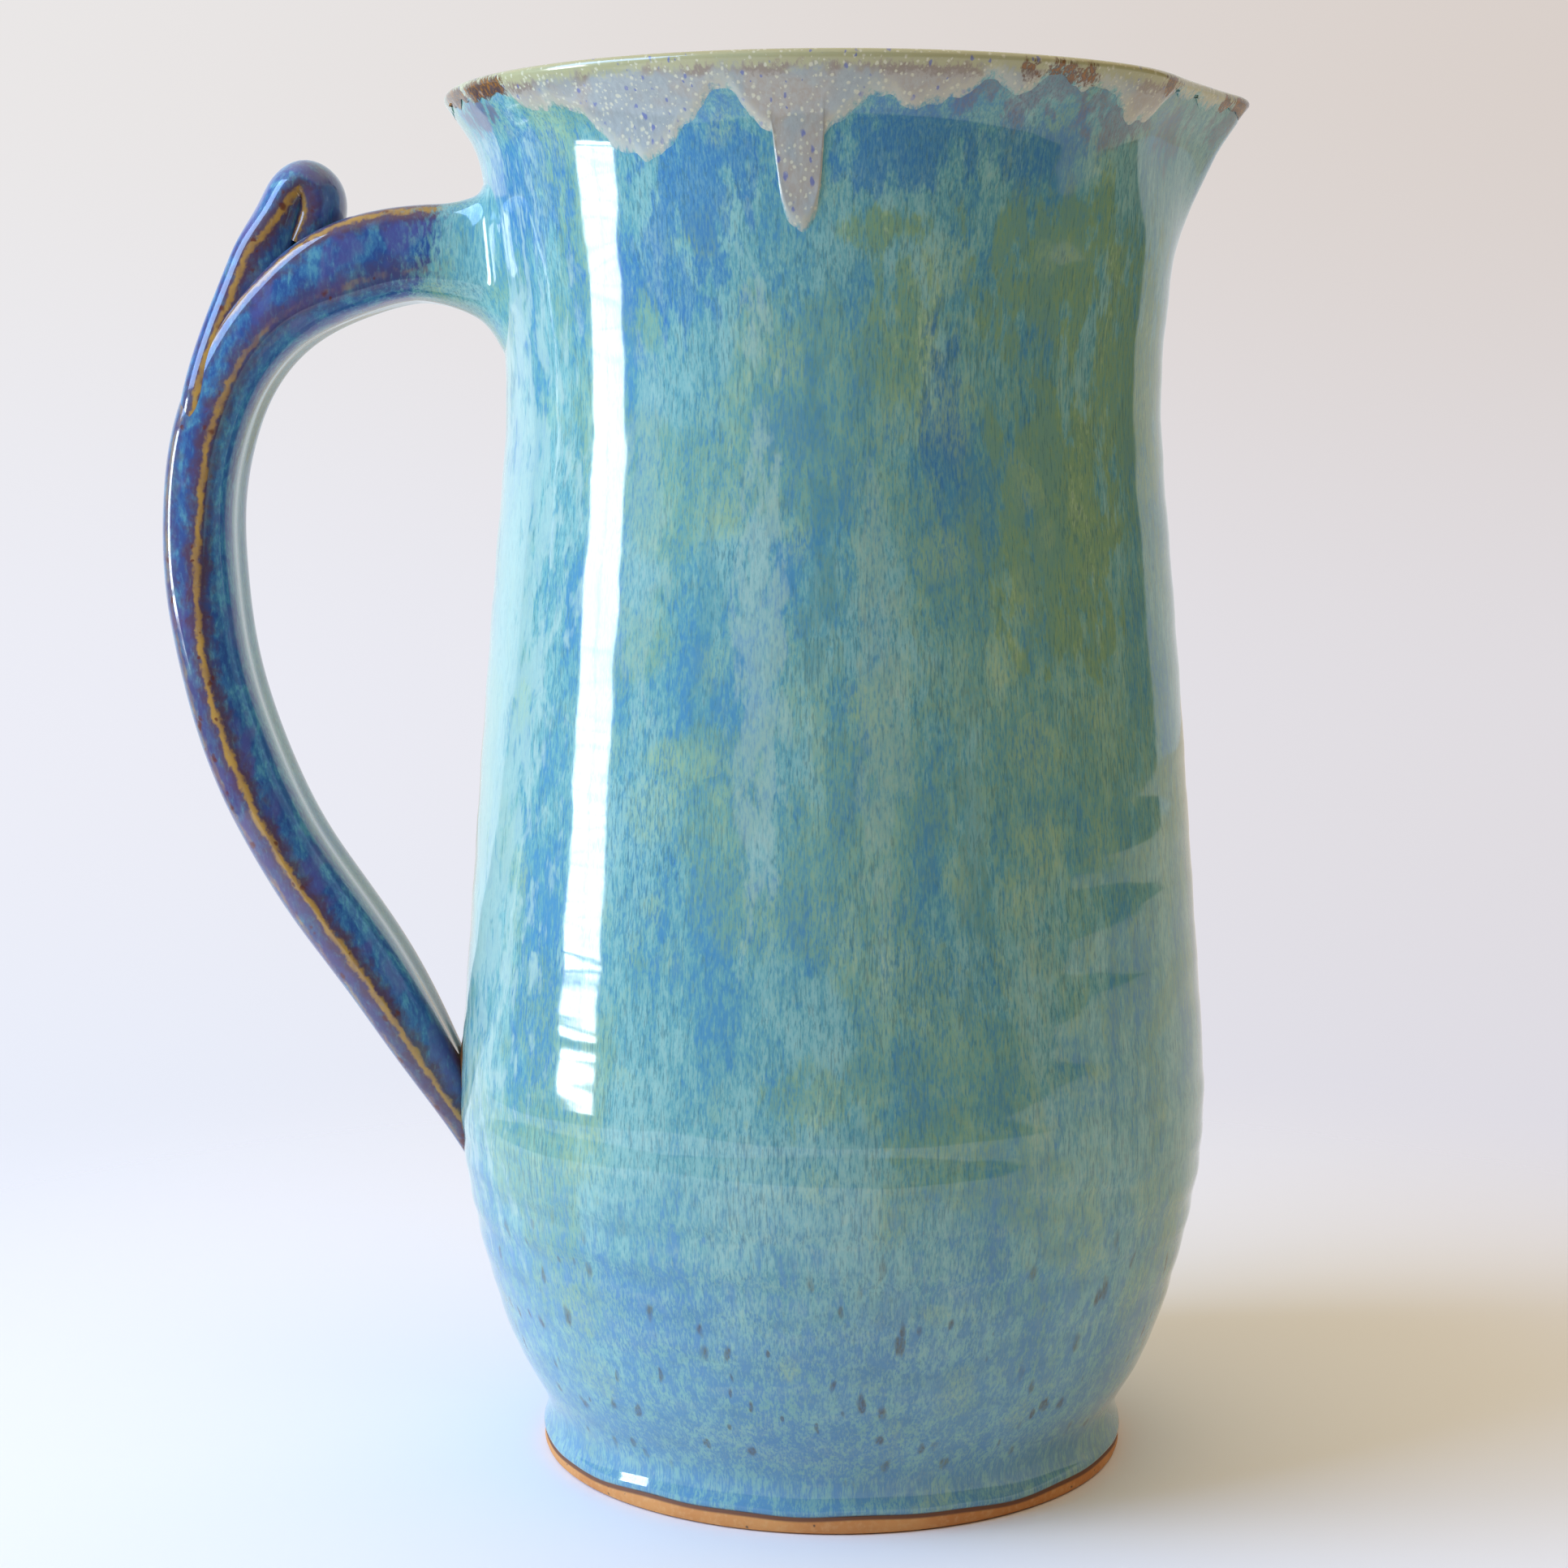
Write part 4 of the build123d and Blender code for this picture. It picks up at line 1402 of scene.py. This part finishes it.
def stage_finish(name, tint, fade_from, fade_to):
    """Matt white that fades out with distance, so that no horizon shows."""
    material, tree, shader, place = start_finish(name)
    shader.inputs["Base Color"].default_value = colour(tint)
    shader.inputs["Roughness"].default_value = 0.9
    shader.inputs["Specular IOR Level"].default_value = 0.0
    far = vectors(tree, "LENGTH", place)["Value"]
    clear = add(tree, "ShaderNodeBsdfTransparent")
    choice = add(tree, "ShaderNodeMixShader")
    camera_ray = add(tree, "ShaderNodeLightPath").outputs["Is Camera Ray"]
    only_camera = times(tree, rise(tree, far, fade_from, fade_to), camera_ray)
    tree.links.new(only_camera, choice.inputs[0])
    tree.links.new(shader.outputs[0], choice.inputs[1])
    tree.links.new(clear.outputs[0], choice.inputs[2])
    tree.links.new(choice.outputs[0], tree.nodes["Material Output"].inputs["Surface"])
    return material


floor_finish = stage_finish("studio_paper", (0.84, 0.84, 0.84), 0.12, 0.34)
bpy.ops.object.select_all(action="DESELECT")
bpy.ops.mesh.primitive_plane_add(size=1.0, location=(0, 0, 0))
paper = bpy.context.object
paper.name = "paper"
paper_points = points_of(paper)
paper_points[:, 0] = np.where(paper_points[:, 0] < 0, PAPER_LEFT, 1.6)
paper_points[:, 1] = np.where(paper_points[:, 1] < 0, PAPER_FRONT, 1.6)
paper.data.vertices.foreach_set("co", paper_points.ravel())
bpy.ops.mesh.primitive_plane_add(size=4.8, location=(0, 0, 0))
table = bpy.context.object
table.name = "table"
with editing(table):
    bpy.ops.mesh.bisect(plane_co=(PAPER_LEFT, 0, 0), plane_no=(1, 0, 0))
    bpy.ops.mesh.select_all(action="SELECT")
    bpy.ops.mesh.bisect(plane_co=(0, PAPER_FRONT, 0), plane_no=(0, 1, 0))
for face in table.data.polygons:
    face.select = face.center.x > PAPER_LEFT and face.center.y > PAPER_FRONT
with editing(table, action=None, pick="FACE"):
    bpy.ops.mesh.delete(type="FACE")
for stage_piece in (paper, table):
    stage_piece.data.materials.append(floor_finish)
    stage_piece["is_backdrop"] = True
table.visible_glossy = False
table.visible_shadow = False

bpy.ops.mesh.primitive_uv_sphere_add(segments=48, ring_count=24, radius=BOWL_RADIUS)
bowl = bpy.context.object
bowl.name = "bowl"
bowl_painted_light_finish, tree, shader, place = start_finish("studio_bowl_painted_light")
# Painted light: the bowl glows, bright and cool on the window's side and dimmer and warmer on the
# right, with the window-lit far floor below.
apart = add(tree, "ShaderNodeSeparateXYZ")
tree.links.new(place, apart.inputs[0])
to_right = rise(tree, apart.outputs[0], -1.1, 1.1)
upper = blend(tree, to_right, (0.83, 0.81, 0.81), (0.69, 0.62, 0.58))
middle = blend(tree, to_right, (0.85, 0.86, 0.94), (0.74, 0.71, 0.74))
lower = blend(tree, to_right, (0.82, 0.87, 0.99), (0.73, 0.71, 0.77))
wall_tint = blend(tree, rise(tree, apart.outputs[2], -0.15, 0.6), middle, upper)
glow = add(tree, "ShaderNodeEmission", Strength=1.0)
bowl_painted_light = blend(tree, rise(tree, apart.outputs[2], -0.7, -0.1), lower, wall_tint)
tree.links.new(bowl_painted_light, glow.inputs["Color"])
tree.links.new(glow.outputs[0], tree.nodes["Material Output"].inputs["Surface"])
tree.nodes.remove(shader)
bowl.data.materials.append(bowl_painted_light_finish)
for ray in ("diffuse", "glossy", "transmission", "shadow", "volume_scatter"):
    setattr(bowl, "visible_" + ray, False)
bowl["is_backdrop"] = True
print("stage ready")

# %% [markdown]
# ### Light
# The world gives the room: white behind the pitcher, dim and warm in front of it, and a
# mid ceiling. The window is a column of area lights, with bars left dark between them, so
# the highlight on the wall breaks into panes. A larger, softer light above it lights the
# paper.

# %% World and window
world = bpy.data.worlds.new("room")
bpy.context.scene.world = world
world.use_nodes = True
tree = world.node_tree
way = add(tree, "ShaderNodeSeparateXYZ")
tree.links.new(add(tree, "ShaderNodeTexCoord").outputs["Generated"], way.inputs[0])
right_side = rise(tree, way.outputs[0], -0.5, 0.5)
front = blend(tree, right_side, (0.14, 0.14, 0.15), (0.07, 0.05, 0.03))
behind = blend(tree, right_side, (0.90, 0.95, 1.0), (0.74, 0.73, 0.74))
# On the right the paper backdrop ends sharply, and on the left it fades into the room
sharp, soft = rise(tree, way.outputs[1], 0.585, 0.605), rise(tree, way.outputs[1], 0.3, 0.8)
whiteness = sums(tree, "MULTIPLY_ADD", sums(tree, "SUBTRACT", sharp, soft), right_side, soft)
room = blend(tree, whiteness, front, behind)
room = blend(tree, rise(tree, way.outputs[2], 0.40, 0.75), room, (1.08, 0.88, 0.62))
tree.links.new(room, tree.nodes["Background"].inputs["Color"])
tree.nodes["Background"].inputs["Strength"].default_value = 1.0

WINDOW = Vector((-1190, -190, 0)) * MM
# Bottom and top of each pane in millimetres, and how bright it is
PANES = [(-66, -20, 24), (-2, 28, 20), (31, 62, 18), (66, 112, 18), (116, 178, 16), (181, 430, 16)]
PANE_WIDTH = 150 * MM
PANE_GAP = 4 * MM


def area_light(name, location, size, radiance, tint, target=(0, 0, 0.12)):
    """A rectangular light that faces the pitcher, set by how bright its face is."""
    width, height = size
    bpy.ops.object.light_add(type="AREA", location=location)
    light = bpy.context.object
    light.name = name
    light.data.shape = "RECTANGLE"
    light.data.size, light.data.size_y = width, height
    light.data.energy = radiance * width * height * math.pi
    light.data.color = tint
    light.rotation_euler = (Vector(location) - Vector(target)).to_track_quat("Z", "Y").to_euler()
    return light


sideways = Vector((WINDOW.y, -WINDOW.x, 0)).normalized()
for number, (bottom, top, radiance) in enumerate(PANES):
    for hand in (-1, 1):
        middle_height = (bottom + top) / 2 * MM
        spot = WINDOW + sideways * hand * (PANE_WIDTH + PANE_GAP) / 2 + Vector((0, 0, middle_height))
        area_light(
            f"pane_{number}_{'left' if hand < 0 else 'right'}", spot,
            (PANE_WIDTH, (top - bottom) * MM), radiance, (0.86, 0.95, 1.0), (0, 0, middle_height),
        )
area_light("sky", (-1.0, -0.35, 0.8), (0.8, 0.7), 10.5, (0.34, 0.56, 1.0))
print(len(bpy.data.lights), "lights")

# %% [markdown]
# ## Measure and finish
# Both boxes, the CAD one and the one of the visible pieces, are printed and gathered in one
# table, so they can be compared.

# %% Sizes
new_low, new_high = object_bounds()
sizes = {"cad": [list(cad_low), list(cad_high)], "visual": [list(new_low), list(new_high)]}
print("visual box", [round(v, 4) for v in new_low], [round(v, 4) for v in new_high])
